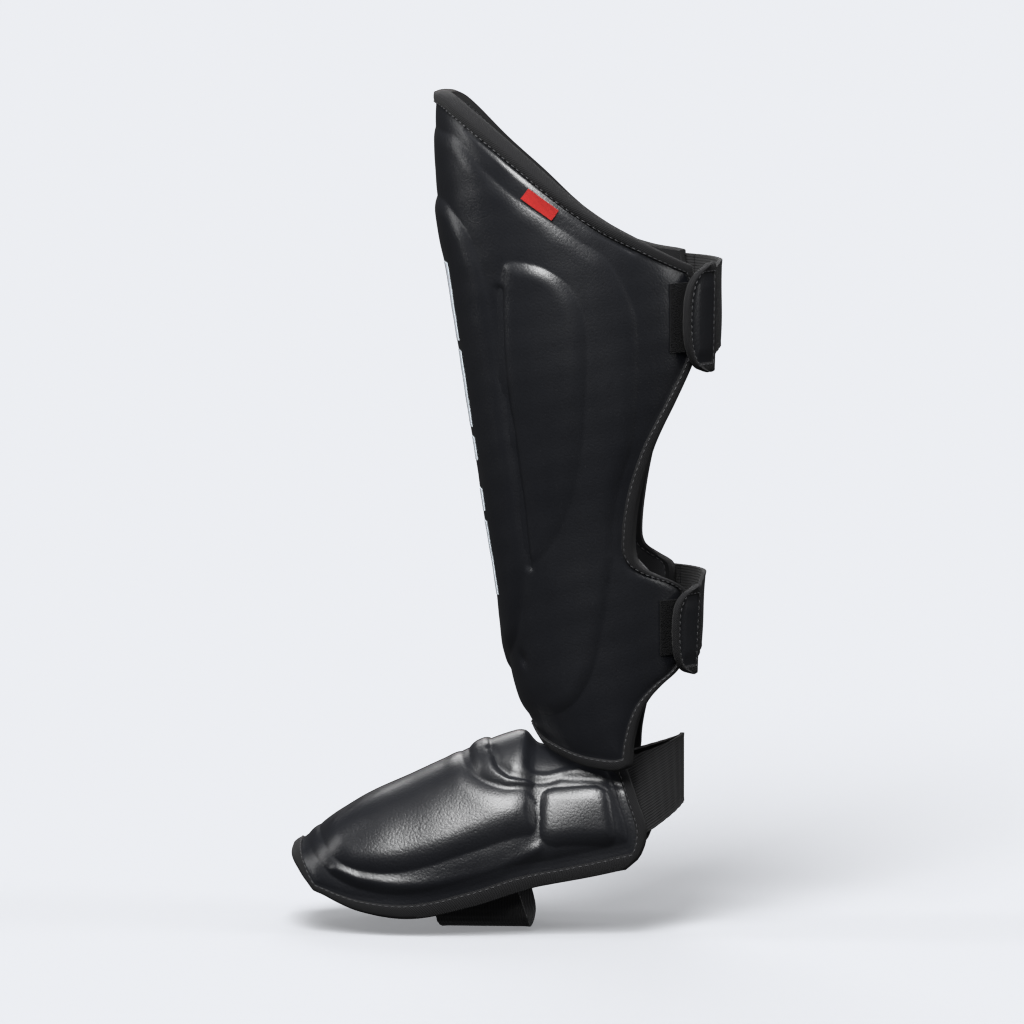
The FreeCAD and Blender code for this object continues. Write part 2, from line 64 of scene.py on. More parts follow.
scene = bpy.context.scene
scene.view_settings.view_transform = "Standard"
PALE = (0.840, 0.855, 0.885, 1.0)


def add(tree, kind, values=None, **settings):
    """One shader node. values fills its sockets by name or number, with a value or another node's output."""
    made = tree.nodes.new(kind)
    for key, value in settings.items():
        setattr(made, key, value)
    for key, value in (values or {}).items():
        if isinstance(value, bpy.types.NodeSocket):
            tree.links.new(value, made.inputs[key])
        else:
            made.inputs[key].default_value = value
    return made


sky = bpy.data.worlds.new("pale_sky")
scene.world = sky
sky.use_nodes = True
sky.node_tree.nodes.clear()
by_ray = add(sky.node_tree, "ShaderNodeLightPath").outputs
fill, mirrored, seen = (
    add(sky.node_tree, "ShaderNodeBackground", {"Color": PALE, "Strength": strength}).outputs[0]
    for strength in (0.25, 0.05, 1.0)
)
fill = add(sky.node_tree, "ShaderNodeMixShader", {0: by_ray["Is Glossy Ray"], 1: fill, 2: mirrored}).outputs[0]
fill = add(sky.node_tree, "ShaderNodeMixShader", {0: by_ray["Is Camera Ray"], 1: fill, 2: seen}).outputs[0]
add(sky.node_tree, "ShaderNodeOutputWorld", {"Surface": fill})

FLOOR_HEIGHT = cad_box[0].z - 0.0012
floor_mesh = bpy.data.meshes.new("floor")
floor_mesh.from_pydata([(-30, -30, 0), (30, -30, 0), (30, 30, 0), (-30, 30, 0)], [], [(0, 1, 2, 3)])
floor = bpy.data.objects.new("floor", floor_mesh)
floor.location.z = FLOOR_HEIGHT
floor.is_shadow_catcher = True
floor.visible_glossy = False
floor.visible_diffuse = False
scene.collection.objects.link(floor)
paper = bpy.data.materials.new("floor_paper")
paper.use_nodes = True
paper.node_tree.nodes["Principled BSDF"].inputs["Base Color"].default_value = PALE
paper.node_tree.nodes["Principled BSDF"].inputs["Roughness"].default_value = 0.9
floor_mesh.materials.append(paper)


def soft_light(name, place, aim, size, watts):
    light = bpy.data.lights.new(name, "AREA")
    light.shape = "RECTANGLE"
    light.size, light.size_y = size
    light.energy = watts
    lamp = bpy.data.objects.new(name, light)
    lamp.location = place
    lamp.rotation_euler = (Vector(aim) - Vector(place)).to_track_quat("-Z", "Y").to_euler()
    lamp.visible_camera = False
    scene.collection.objects.link(lamp)
    return lamp


soft_light("overhead", (1.15, -0.25, 1.5), (0, -0.05, 0.0), (0.8, 1.5), 84)
soft_light("front_strip", (0.05, -1.7, 0.9), (0, -0.05, 0.15), (0.3, 1.4), 9)
# This one only thins the shadow on the floor: it casts none, and shows in no gloss.
floor_fill = soft_light("floor_fill", (0, 0, 3.0), (0, 0, 0), (2.0, 2.0), 115)
floor_fill.data.use_shadow = False
floor_fill.visible_glossy = False
soft_light("rear_strip", (0.2, 1.6, 0.9), (0, 0, 0.15), (0.4, 1.4), 9)
soft_light("far_side", (-1.5, -0.3, 1.1), (0, -0.05, 0.15), (0.9, 0.9), 12)

LOOK_AT = Vector((0, -0.0505, 0.1467))
AZIMUTH, ELEVATION = math.radians(94), math.radians(6)
DISTANCE, FRAME_WIDTH = 5.5, 0.594
back = Vector((math.sin(AZIMUTH) * math.cos(ELEVATION), -math.cos(AZIMUTH) * math.cos(ELEVATION), math.sin(ELEVATION)))
lens = bpy.data.cameras.new("camera")
lens.lens = lens.sensor_width * DISTANCE / FRAME_WIDTH
camera = bpy.data.objects.new("camera", lens)
camera.location = LOOK_AT + back * DISTANCE
camera.rotation_euler = (-back).to_track_quat("-Z", "Y").to_euler()
scene.collection.objects.link(camera)
scene.camera = camera

# ---------------------------------------------------------------- shin cover
# Synthetic leather, 1.2 mm thick, heat-pressed over the foams so that the pads stand out of it as moulded
# relief. It is cut to the shell's outline and its edge goes under the binding.

MM = 0.001
# The leg's ovals: height, front, rear, half width, and the share of the full wall at that height.
LEG = [
    (-8, -23, 62, 44, 0.42),
    (20, -36.5, 56, 45, 0.46),
    (50, -47.8, 55.5, 46.5, 0.80),
    (125, -60.8, 59.5, 52, 1.0),
    (195, -71.6, 64.5, 59.5, 1.0),
    (265, -82.6, 67.5, 65.5, 1.0),
    (330, -91.6, 67, 67, 0.85),
    (400, -96, 64, 64, 0.50),
]
# Where each wing ends behind the leg, as (height, place along Y), and the top edge and rim, the other way.
LATERAL_EDGE = [(4, 20), (20, 22), (38, 28), (50, 38), (58, 47), (66, 51), (85, 52), (104, 52)]
LATERAL_EDGE += [(110, 46), (116, 33), (122, 25), (132, 22), (160, 25), (190, 34.5), (215, 46.5), (235, 55.5)]
LATERAL_EDGE += [(250, 59), (266, 60), (282, 59), (292, 56), (400, 54)]
MEDIAL_EDGE = [(4, 20), (20, 22), (38, 27), (50, 34), (58, 40), (66, 43), (85, 43.5), (104, 43)]
MEDIAL_EDGE += [(110, 43), (115, 41), (119, 33), (124, 24), (133, 21), (160, 24), (190, 31), (215, 39), (235, 46)]
MEDIAL_EDGE += [(250, 49.5), (266, 50.5), (282, 50), (292, 48), (400, 46)]
LATERAL_TOP = [(-96, 390.5), (-93, 390), (-87, 387), (-66, 372), (-42.5, 354), (-19, 335.5)]
LATERAL_TOP += [(4, 320), (27, 308), (56, 293), (70, 286)]
MEDIAL_TOP = [(-96, 390.5), (-93, 390), (-87, 385.5), (-66, 362.5), (-42.5, 341.5), (-19, 321)]
MEDIAL_TOP += [(4, 306), (27, 298.5), (50, 296), (70, 294)]
RIM = [(-40, 22), (-37, 20.5), (-31, 13), (-21, 8.6), (-8.6, 4.3), (3, 2.4), (13, 2), (20, 5), (26, 9)]
WALL = {"front": 17.0, "side": 11.0, "rear": 6.0}
SKIN = 1.2
TAPE_LAP = 7.0


def along(rows, at, column=1):
    """The smooth value of a column at places between rows, straight on beyond the first and last."""
    rows = np.array([(row[0], row[column]) for row in rows], float)
    x, y = rows[:, 0], rows[:, 1]
    slope = np.empty(len(x))
    slope[1:-1] = (y[2:] - y[:-2]) / (x[2:] - x[:-2])
    slope[0] = (y[1] - y[0]) / (x[1] - x[0])
    slope[-1] = (y[-1] - y[-2]) / (x[-1] - x[-2])
    at = np.asarray(at, float)
    i = np.clip(np.searchsorted(x, at, "right") - 1, 0, len(x) - 2)
    span = x[i + 1] - x[i]
    part = np.clip((at - x[i]) / span, 0, 1)
    value = y[i] + (y[i + 1] - y[i]) * part * part * (3 - 2 * part)
    value += part * (1 - part) ** 2 * span * slope[i] - part * part * (1 - part) * span * slope[i + 1]
    return value + np.minimum(at - x[0], 0) * slope[0] + np.maximum(at - x[-1], 0) * slope[-1]


def leg_oval(height):
    """(middle along Y, half depth, half width) of the leg's oval, on the shell's outer face."""
    front, rear, half = (along(LEG, height, column) for column in (1, 2, 3))
    return (front + rear) / 2, (rear - front) / 2, half


def on_leg(turn, height, share=0.0, inwards=0.0):
    """Points on the leg's ovals, in millimetres: turn is 0 over the shin bone and grows towards +X. They
    lie inside the outer face by a share of the wall and a plain distance."""
    turn, height, inwards = np.broadcast_arrays(turn, height, inwards)
    thick = along(LEG, height, 4) * share
    front, side, rear = (WALL[w] * thick + inwards for w in ("front", "side", "rear"))
    middle, deep, half = leg_oval(height)
    y = middle + (front - rear) / 2 - (deep - (front + rear) / 2) * np.cos(turn)
    return np.stack([(half - side) * np.sin(turn), y, height + 0.0 * y], axis=-1)


def turn_to(y, height):
    """The turn at which the leg's outer oval reaches a place along Y."""
    middle, deep, _ = leg_oval(height)
    return np.arccos(np.clip((middle - y) / deep, -1, 1))


def edge_height(u, rows, edge):
    """The height at which the top edge or the rim crosses share u of the way round."""
    height = np.full(np.shape(u), float(rows[len(rows) // 2][1]))
    for _ in range(12):
        turn = np.abs(u) * turn_to(along(edge, height), height)
        height = along(rows, on_leg(turn, height)[..., 1])
    return height


def shin_place(u, v):
    """(turn, height, length from rim to top, turn of the wing's end) at share u from the shin bone to a
    wing's end, -1 to 1, and share v from the rim to the top edge."""
    u, v = np.broadcast_arrays(np.asarray(u, float), np.asarray(v, float))
    inside = np.clip(u, -1, 1)
    sides = []
    for edge, top in ((LATERAL_EDGE, LATERAL_TOP), (MEDIAL_EDGE, MEDIAL_TOP)):
        low, high = edge_height(inside, RIM, edge), edge_height(inside, top, edge)
        height = low + (high - low) * v
        wing = turn_to(along(edge, height), height)
        sides.append((u * wing, height, high - low, wing))
    return tuple(np.where(u >= 0, one, other) for one, other in zip(*sides))


def smooth(value):
    value = np.clip(value, 0, 1)
    return value * value * (3 - 2 * value)


def rounded_loop(points, rounds=3):
    """A closed outline with its corners cut to curves."""
    loop = np.array(points, float)
    for _ in range(rounds):
        ahead = np.roll(loop, -1, axis=0)
        loop = np.stack([0.75 * loop + 0.25 * ahead, 0.25 * loop + 0.75 * ahead], axis=1).reshape(-1, 2)
    return loop


def depth_inside(x, y, loop):
    """How far points lie inside a closed outline; negative outside."""
    nearest, inside = np.full(x.shape, 1e9), np.zeros(x.shape, bool)
    for (ax, ay), (bx, by) in zip(loop, np.roll(loop, -1, axis=0)):
        dx, dy = bx - ax, by - ay
        part = np.clip(((x - ax) * dx + (y - ay) * dy) / (dx * dx + dy * dy + 1e-9), 0, 1)
        nearest = np.minimum(nearest, np.hypot(x - ax - part * dx, y - ay - part * dy))
        inside ^= ((ay > y) != (by > y)) & (x < dx * (y - ay) / (dy if dy else 1e-9) + ax)
    return np.where(inside, nearest, -nearest)


def depth_from_line(x, y, points):
    """The distance of points from an open line."""
    nearest = np.full(x.shape, 1e9)
    for (ax, ay), (bx, by) in zip(points, points[1:]):
        dx, dy = bx - ax, by - ay
        part = np.clip(((x - ax) * dx + (y - ay) * dy) / (dx * dx + dy * dy + 1e-9), 0, 1)
        nearest = np.minimum(nearest, np.hypot(x - ax - part * dx, y - ay - part * dy))
    return nearest


def shoulder(depth, width):
    """The rise of a pressed pad: a crease at its border, then a round shoulder."""
    part = np.clip(depth / width, 0, 1)
    return 1 - (1 - part) ** 2.2


LEG_RADIUS = 62.0


def flat_shin(points):
    """Outline points (along Y, height) on the shell's side, as (arc from the shin bone, height)."""
    return [(float(turn_to(y, z)) * LEG_RADIUS, z) for y, z in points]


# Outlines of the moulded relief, seen from the side. The spine and body carry on over the shin bone.
SPINE = [(-20, 330), *flat_shin([(-86, 331), (-79, 322), (-71, 312), (-66, 300), (-60, 284), (-56, 258)])]
SPINE += flat_shin([(-53, 229), (-47.5, 194), (-43, 159), (-39, 124), (-42, 92), (-45, 72), (-50, 61)])
SPINE += [(6, 55), (-20, 54)]
SIDE_PAD = flat_shin([(-51.5, 290), (-50, 297), (-36, 296.5), (-25, 293), (-14, 285), (-6.5, 272), (-3.5, 256)])
SIDE_PAD += flat_shin([(-3.5, 225), (-5.5, 190), (-11, 160), (-20, 138), (-30, 124), (-37.5, 121)])
SIDE_PAD += flat_shin([(-40.5, 159), (-45, 194), (-50.5, 229), (-52.5, 262)])
BODY = [(-20, 372), *flat_shin([(-84, 369), (-77, 364), (-67, 353), (-54, 341), (-42, 332), (-25, 321)])]
BODY += flat_shin([(-7.6, 309), (4, 303), (9, 299), (16, 289), (22, 276), (26, 262), (26.5, 240)])
BODY += flat_shin([(25, 205), (19, 170), (12, 130), (6, 90), (0, 56), (-14, 34)]) + [(20, 30), (-20, 30)]
CREASE = flat_shin([(-74, 371.5), (-56, 357.5), (-36.6, 342.5), (-18, 329), (4, 314), (24, 303)])
SPINE_RISE, PAD_RISE, BODY_RISE = 2.5, 2.6, 1.6
DIMPLE = flat_shin([(-41, 64)])[0]


def shin_to_edge(u, v, length, wing):
    """Distance, in millimetres, to the nearest edge of the shell."""
    u, v = np.clip(np.abs(u), 0, 1), np.clip(v, 0, 1)
    return np.minimum((1 - u) * wing * LEG_RADIUS * 0.92, np.minimum(v, 1 - v) * length * 0.97)


def shin_relief(turn, height, to_edge):
    """How far the cover stands out of the leg's oval."""
    arc = np.abs(turn) * LEG_RADIUS
    body = np.minimum(depth_inside(arc, height, rounded_loop(BODY)), to_edge - TAPE_LAP - 4)
    lift = BODY_RISE * shoulder(body, 9)
    fade = smooth((height - 150) / 90) * 0.62 + 0.38
    lift += PAD_RISE * fade * shoulder(depth_inside(arc, height, rounded_loop(SIDE_PAD)), 9)
    lift += SPINE_RISE * shoulder(depth_inside(arc, height, rounded_loop(SPINE)), 10)
    lift -= 2.0 * np.exp(-((arc / 24) ** 2)) * smooth((height - 62) / 40) * smooth((312 - height) / 30)
    valley = depth_from_line(arc, height, flat_shin([(-53.5, 280), (-51.5, 229), (-46, 194), (-41.5, 159), (-37, 120)]))
    lift -= 1.5 * np.exp(-((valley / 2.8) ** 2))
    lift -= 0.8 * np.exp(-((depth_from_line(arc, height, CREASE) / 1.5) ** 2))
    lift -= 1.5 * np.exp(-((arc - DIMPLE[0]) ** 2 + (height - DIMPLE[1]) ** 2) / 22)
    lift -= 1.0 * np.exp(-np.maximum(to_edge - TAPE_LAP, 0) / 5)
    lift += 0.22 * np.sin(arc / 11 + height / 23) * np.sin(height / 17 - arc / 29)
    return lift + 0.10 * np.sin(arc / 4.3 - height / 6.1) * np.sin(height / 5.2 + arc / 7.7)


def shin_face(u, v, share=0.0, inwards=0.0, relief=1.0):
    """Points of one face of the shell's wall, with a share of the relief."""
    turn, height, length, wing = shin_place(u, v)
    lift = shin_relief(turn, height, shin_to_edge(u, v, length, wing)) * relief if relief else 0.0
    return on_leg(turn, height, share, inwards - lift)


def grid_pair(us, vs):
    return np.meshgrid(us, vs, indexing="ij")


def finish_mesh(name, points, faces, body, replaced=(), uv=None, crisp=48):
    mesh = bpy.data.meshes.new(name)
    mesh.from_pydata((np.asarray(points) * MM).tolist(), [], faces)
    mesh.update()
    mesh.validate()
    if uv is not None:
        layer = mesh.uv_layers.new(name="lay")
        corner = np.empty(len(mesh.loops), np.int32)
        mesh.loops.foreach_get("vertex_index", corner)
        layer.data.foreach_set("uv", (np.asarray(uv) * MM)[corner].astype(np.float32).ravel())
    mesh.shade_smooth()
    mesh.set_sharp_from_angle(angle=math.radians(crisp))
    made = bpy.data.objects.new(name, mesh)
    scene.collection.objects.link(made)
    if body:
        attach(made, body)
    if replaced:
        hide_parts(*replaced)
    return made


def grid_uv(points):
    """Lengths along the two directions of a grid of points, in millimetres."""
    s = np.zeros(points.shape[:2])
    t = np.zeros(points.shape[:2])
    s[1:] = np.cumsum(np.linalg.norm(np.diff(points, axis=0), axis=-1), axis=0)
    t[:, 1:] = np.cumsum(np.linalg.norm(np.diff(points, axis=1), axis=-1), axis=1)
    return np.stack([s, t], axis=-1).reshape(-1, 2)


def closed_sheet(name, outer, inner, body, replaced=(), step=1, crisp=48):
    """A closed sheet between two grids of points. The inner grid may be coarser by a whole step."""
    inner = inner[::step, ::step]
    nu, nv, mu, mv = *outer.shape[:2], *inner.shape[:2]
    base = nu * nv
    top = np.arange(base).reshape(nu, nv)
    low = base + np.arange(mu * mv).reshape(mu, mv)
    faces = np.stack([top[:-1, :-1], top[1:, :-1], top[1:, 1:], top[:-1, 1:]], -1).reshape(-1, 4).tolist()
    faces += np.stack([low[:-1, :-1], low[:-1, 1:], low[1:, 1:], low[1:, :-1]], -1).reshape(-1, 4).tolist()
    rims = ((top[:, 0], low[:, 0], 1), (top[:, -1], low[:, -1], -1), (top[0], low[0], -1), (top[-1], low[-1], 1))
    for fine, coarse, way in rims:
        for k in range(len(coarse) - 1):
            face = [*fine[k * step : (k + 1) * step + 1], coarse[k + 1], coarse[k]]
            faces.append([int(i) for i in (face[::-1] if way > 0 else face)])
    points = np.concatenate([outer.reshape(-1, 3), inner.reshape(-1, 3)])
    uv = np.concatenate([grid_uv(outer), grid_uv(inner)])
    made = finish_mesh(name, points, faces, body, replaced, uv, crisp)
    volume = np.einsum("ij,ij->i", outer[:-1, :-1].reshape(-1, 3) - inner.reshape(-1, 3).mean(0),
                       np.cross((outer[1:, :-1] - outer[:-1, :-1]).reshape(-1, 3),
                                (outer[:-1, 1:] - outer[:-1, :-1]).reshape(-1, 3))).sum()
    if volume < 0:
        made.data.flip_normals()
    return made


def group(name, inputs, outputs):
    """An empty shader group with its sockets: inputs as (name, value), outputs as (name, kind)."""
    tree = bpy.data.node_groups.new(name, "ShaderNodeTree")
    for label, value in inputs:
        kind = "NodeSocketColor" if isinstance(value, tuple) else "NodeSocketFloat"
        made = tree.interface.new_socket(label, in_out="INPUT", socket_type=kind)
        made.default_value = value
    for label, kind in outputs:
        tree.interface.new_socket(label, in_out="OUTPUT", socket_type=kind)
    return tree, add(tree, "NodeGroupInput").outputs, add(tree, "NodeGroupOutput")


def math_of(tree, operation, *values):
    return add(tree, "ShaderNodeMath", dict(enumerate(values)), operation=operation).outputs[0]


def scaled_noise(tree, coords, scale, detail=3.0, rough=0.55):
    values = {"Vector": coords, "Scale": scale, "Detail": detail, "Roughness": rough}
    return add(tree, "ShaderNodeTexNoise", values).outputs["Fac"]


# Pressed grain of synthetic leather: pebbles a millimetre across, finer pores, and slow soft dents.
leather_grain, given, gives = group(
    "leather_grain",
    [("Pebbles per metre", 850.0), ("Dents per metre", 26.0)],
    [("Height", "NodeSocketFloat"), ("Valleys", "NodeSocketFloat"), ("Blotches", "NodeSocketFloat")],
)
place = add(leather_grain, "ShaderNodeTexCoord").outputs["Object"]
warp = add(leather_grain, "ShaderNodeTexNoise", {"Vector": place, "Scale": 420.0, "Detail": 2.0}).outputs["Color"]
warped = add(leather_grain, "ShaderNodeMix", {0: 0.0012, 4: place, 5: warp}, data_type="VECTOR").outputs[1]
pebble = add(
    leather_grain, "ShaderNodeTexVoronoi", {"Vector": warped, "Scale": given[0]}, feature="SMOOTH_F1"
).outputs["Distance"]
pores = scaled_noise(leather_grain, place, 2600.0, 2.0)
dents = scaled_noise(leather_grain, place, given[1], 3.0)
round_pebble = math_of(leather_grain, "SUBTRACT", 1.0, math_of(leather_grain, "POWER", pebble, 2.0))
grain = math_of(leather_grain, "MULTIPLY_ADD", pores, 0.25, round_pebble)
height = math_of(leather_grain, "MULTIPLY_ADD", dents, 2.2, grain)
leather_grain.links.new(height, gives.inputs[0])
# Valleys: the pebbles' borders, which the leather uses as a painted shade mask.
leather_grain.links.new(math_of(leather_grain, "SMOOTH_MIN", pebble, 0.9, 0.2), gives.inputs[1])
leather_grain.links.new(scaled_noise(leather_grain, place, 9.0, 5.0), gives.inputs[2])

# Handling: a little dust in patches, and scuffs that turn the gloss down.
handling, given, gives = group(
    "handling", [("Amount", 0.5)], [("Dust", "NodeSocketFloat"), ("Scuffs", "NodeSocketFloat")]
)
place = add(handling, "ShaderNodeTexCoord").outputs["Object"]
specks = scaled_noise(handling, place, 900.0, 4.0, 0.7)
patches = scaled_noise(handling, place, 14.0, 4.0)
dust = math_of(handling, "MULTIPLY", math_of(handling, "GREATER_THAN", specks, 0.66), patches)
handling.links.new(math_of(handling, "MULTIPLY", dust, given[0]), gives.inputs[0])
stretched = add(handling, "ShaderNodeMapping", {"Vector": place, "Scale": (120.0, 120.0, 18.0)}).outputs[0]
streaks = add(handling, "ShaderNodeTexNoise", {"Vector": stretched, "Scale": 1.0, "Detail": 4.0}).outputs["Fac"]
handling.links.new(math_of(handling, "MULTIPLY", streaks, given[0]), gives.inputs[1])


def start_material(name):
    made = bpy.data.materials.new(name)
    made.use_nodes = True
    return made, made.node_tree, made.node_tree.nodes["Principled BSDF"]


def use(tree, shared, **values):
    """Places a shared effect in a material."""
    node = add(tree, "ShaderNodeGroup")
    node.node_tree = shared
    for key, value in values.items():
        node.inputs[key.replace("_", " ")].default_value = value
    return node.outputs


def spread_of(tree, value, low, high, from_low=0.0, from_high=1.0):
    values = {"Value": value, "From Min": from_low, "From Max": from_high, "To Min": low, "To Max": high}
    return add(tree, "ShaderNodeMapRange", values).outputs[0]


def mixed(tree, share, one, other):
    return add(tree, "ShaderNodeMix", {0: share, 6: one, 7: other}, data_type="RGBA").outputs[2]


def bump(tree, shader, height, strength, depth):
    made = add(tree, "ShaderNodeBump", {"Height": height, "Strength": strength, "Distance": depth})
    tree.links.new(made.outputs[0], shader.inputs["Normal"])


def leather_material(name, dark, light, gloss, grain_depth):
    """Satin black synthetic leather: painted shade darkens the grain's valleys, with a slightly uneven gloss."""
    made, tree, shader = start_material(name)
    grain = use(tree, leather_grain)
    worn = use(tree, handling, Amount=0.5)
    colour = mixed(tree, spread_of(tree, grain["Blotches"], 0, 1, 0.3, 0.7), dark, light)
    # Painted shade: the grain's valleys are mixed towards near black.
    colour = mixed(tree, spread_of(tree, grain["Valleys"], 0.0, 0.45, 0.2, 0.8), colour, (0.004, 0.004, 0.005, 1))
    colour = mixed(tree, math_of(tree, "MULTIPLY", worn["Dust"], 0.12), colour, (0.25, 0.25, 0.26, 1))
    tree.links.new(colour, shader.inputs["Base Color"])
    rough = spread_of(tree, grain["Blotches"], gloss - 0.05, gloss + 0.06, 0.3, 0.7)
    rough = math_of(tree, "MULTIPLY_ADD", worn["Scuffs"], 0.10, rough)
    tree.links.new(rough, shader.inputs["Roughness"])
    shader.inputs["Specular IOR Level"].default_value = 0.5
    bump(tree, shader, grain["Height"], 0.55, grain_depth)
    return made


shin_leather = leather_material("shin_leather", (0.0045, 0.0050, 0.0066, 1), (0.0070, 0.0076, 0.0094, 1), 0.30, 0.00016)

cover_us, cover_vs = np.linspace(-1, 1, 281), np.linspace(0, 1, 337)
uu, vv = grid_pair(cover_us, cover_vs)
shin_cover = closed_sheet(
    "shin_cover", shin_face(uu, vv), shin_face(uu, vv, inwards=SKIN), "shin", ["shin_cover"], step=8
)
shin_cover.data.materials.append(shin_leather)

# ---------------------------------------------------------------- shin foams and lining
# Under the cover lie a dense foam shell, three moulded foam blocks, and a soft foam against the leg. A
# brushed knit lining closes the trough. All are glued as one wall and sewn through at the edge.

DENSE_SHARE, LINING = 0.68, 0.9
foam_us, foam_vs = np.linspace(-1, 1, 57), np.linspace(0, 1, 73)
uu, vv = grid_pair(foam_us, foam_vs)


def foam_material(name, colour, cells_per_metre):
    """Closed-cell foam: fine cells with darker walls."""
    made, tree, shader = start_material(name)
    place = add(tree, "ShaderNodeTexCoord").outputs["Object"]
    cells = add(tree, "ShaderNodeTexVoronoi", {"Vector": place, "Scale": cells_per_metre}).outputs["Distance"]
    darker = tuple(c * 0.6 for c in colour[:3]) + (1,)
    tree.links.new(mixed(tree, spread_of(tree, cells, 0, 1, 0.1, 0.7), colour, darker), shader.inputs["Base Color"])
    tree.links.new(spread_of(tree, cells, 0.8, 0.95), shader.inputs["Roughness"])
    bump(tree, shader, cells, 0.5, 0.0003)
    return made


dense_foam = foam_material("dense_foam", (0.045, 0.045, 0.048, 1), 1500.0)
soft_foam = foam_material("soft_foam", (0.16, 0.16, 0.165, 1), 900.0)


def knit_material(name, dark, light):
    """Brushed knit: short rows of loops under a soft nap, with a dull sheen at grazing angles."""
    made, tree, shader = start_material(name)
    lay = add(tree, "ShaderNodeUVMap", uv_map="lay").outputs[0]
    rows = add(tree, "ShaderNodeTexWave", {"Vector": lay, "Scale": 260.0, "Distortion": 1.2, "Detail": 2.0})
    nap = scaled_noise(tree, add(tree, "ShaderNodeTexCoord").outputs["Object"], 1800.0, 4.0, 0.7)
    height = math_of(tree, "MULTIPLY_ADD", rows.outputs["Fac"], 0.5, nap)
    tree.links.new(mixed(tree, spread_of(tree, nap, 0, 1, 0.3, 0.7), dark, light), shader.inputs["Base Color"])
    tree.links.new(spread_of(tree, nap, 0.78, 0.95), shader.inputs["Roughness"])
    shader.inputs["Specular IOR Level"].default_value = 0.25
    shader.inputs["Sheen Weight"].default_value = 0.12
    shader.inputs["Sheen Roughness"].default_value = 0.5
    bump(tree, shader, height, 0.5, 0.0003)
    return made


lining_knit = knit_material("lining_knit", (0.0065, 0.0065, 0.0075, 1), (0.015, 0.015, 0.017, 1))

us_in, vs_in = uu * 0.985, 0.012 + vv * 0.976
dense = closed_sheet(
    "shin_dense_foam",
    shin_face(us_in, vs_in, inwards=SKIN + 2.6, relief=0.0),
    shin_face(us_in, vs_in, share=DENSE_SHARE, relief=0.0),
    "shin",
    ["shin_dense_foam"],
)
dense.data.materials.append(dense_foam)
soft = closed_sheet(
    "shin_soft_foam",
    shin_face(us_in, vs_in, share=DENSE_SHARE, inwards=0.1, relief=0.0),
    shin_face(us_in, vs_in, share=1, inwards=-LINING - 0.1, relief=0.0),
    "shin",
    ["shin_soft_foam"],
)
soft.data.materials.append(soft_foam)


def lining_face(inwards):
    """The lining dimples softly where the foam under it gives."""
    turn, height = shin_place(fine_u, fine_v)[:2]
    puff = 0.35 * np.sin(turn * 9 + height / 31) * np.sin(height / 14 - turn * 3)
    return on_leg(turn, height, 1, inwards + puff)


fine_u, fine_v = grid_pair(np.linspace(-1, 1, 113), np.linspace(0, 1, 145))
shin_lining = closed_sheet(
    "shin_lining", lining_face(-LINING), lining_face(0.0), "shin", ["shin_lining"], step=4
)
shin_lining.data.materials.append(lining_knit)


def pad_block(name, heights, rear, front, side, node):
    """A foam block under the cover's relief. side is 0 across the shin bone, 1 lateral and -1 medial."""
    s, t = grid_pair(np.linspace(0, 1, 41), np.linspace(0, 1, 61))
    height = heights[0] + (heights[1] - heights[0]) * t
    end = turn_to(along(rear, height), height)
    start = turn_to(along(front, height), height) if side else -end
    turn = (start + (end - start) * s) * (side or 1)
    lift = np.maximum(shin_relief(turn, height, np.full(turn.shape, 60.0)) - 0.3, -1.2)
    block = closed_sheet(
        name, on_leg(turn, height, 0, SKIN - lift), on_leg(turn, height, 0, SKIN + 2.4), "shin", [node]
    )
    block.data.materials.append(dense_foam)


pad_block("centre_pad", (62, 322), [(60, -52), (100, -47), (150, -46), (230, -56), (330, -78)], None, 0, "centre_pad")
SIDE_FRONT = [(132, -34), (160, -38), (195, -42), (240, -48), (290, -50)]
SIDE_REAR = [(132, -24), (160, -13), (240, -6), (270, -9), (290, -20)]
pad_block("lateral_side_pad", (134, 288), SIDE_REAR, SIDE_FRONT, 1, "lateral_side_pad")
pad_block("medial_side_pad", (134, 288), SIDE_REAR, SIDE_FRONT, -1, "medial_side_pad")

# ---------------------------------------------------------------- shin edge binding
# Woven polyester tape, folded round the raw edge of the whole wall and sewn through all the layers near
# its inner border, with the lockstitch showing as a dotted line on both faces.

TAPE = 0.8


def weave_material(name, dark, light, threads_per_metre, sheen=0.03):
    """Plain weave laid along the tape: warp and weft threads that pass over each other, coloured darker where they dip,
    as painted shade, over a random fuzz tone.
    """
    made, tree, shader = start_material(name)
    lay = add(tree, "ShaderNodeSeparateXYZ", {0: add(tree, "ShaderNodeUVMap", uv_map="lay").outputs[0]})
    turns = math.pi * threads_per_metre
    warp = math_of(tree, "SINE", math_of(tree, "MULTIPLY", lay.outputs[0], turns))
    weft = math_of(tree, "SINE", math_of(tree, "MULTIPLY", lay.outputs[1], turns))
    over = math_of(tree, "MULTIPLY", warp, weft)
    fuzz = scaled_noise(tree, add(tree, "ShaderNodeTexCoord").outputs["Object"], 2400.0, 3.0, 0.7)
    height = math_of(tree, "MULTIPLY_ADD", fuzz, 0.6, over)
    # Painted shade: the colour darkens where the weave dips, with the fuzz as random tone.
    tree.links.new(mixed(tree, spread_of(tree, height, 0, 1, -0.6, 1.2), dark, light), shader.inputs["Base Color"])
    tree.links.new(spread_of(tree, fuzz, 0.7, 0.92), shader.inputs["Roughness"])
    shader.inputs["Specular IOR Level"].default_value = 0.2
    shader.inputs["Sheen Weight"].default_value = sheen
    shader.inputs["Sheen Roughness"].default_value = 0.45
    bump(tree, shader, height, 0.6, 0.00022)
    return made


binding_weave = weave_material("binding_weave", (0.0025, 0.0025, 0.0028, 1), (0.007, 0.007, 0.0078, 1), 1500.0)


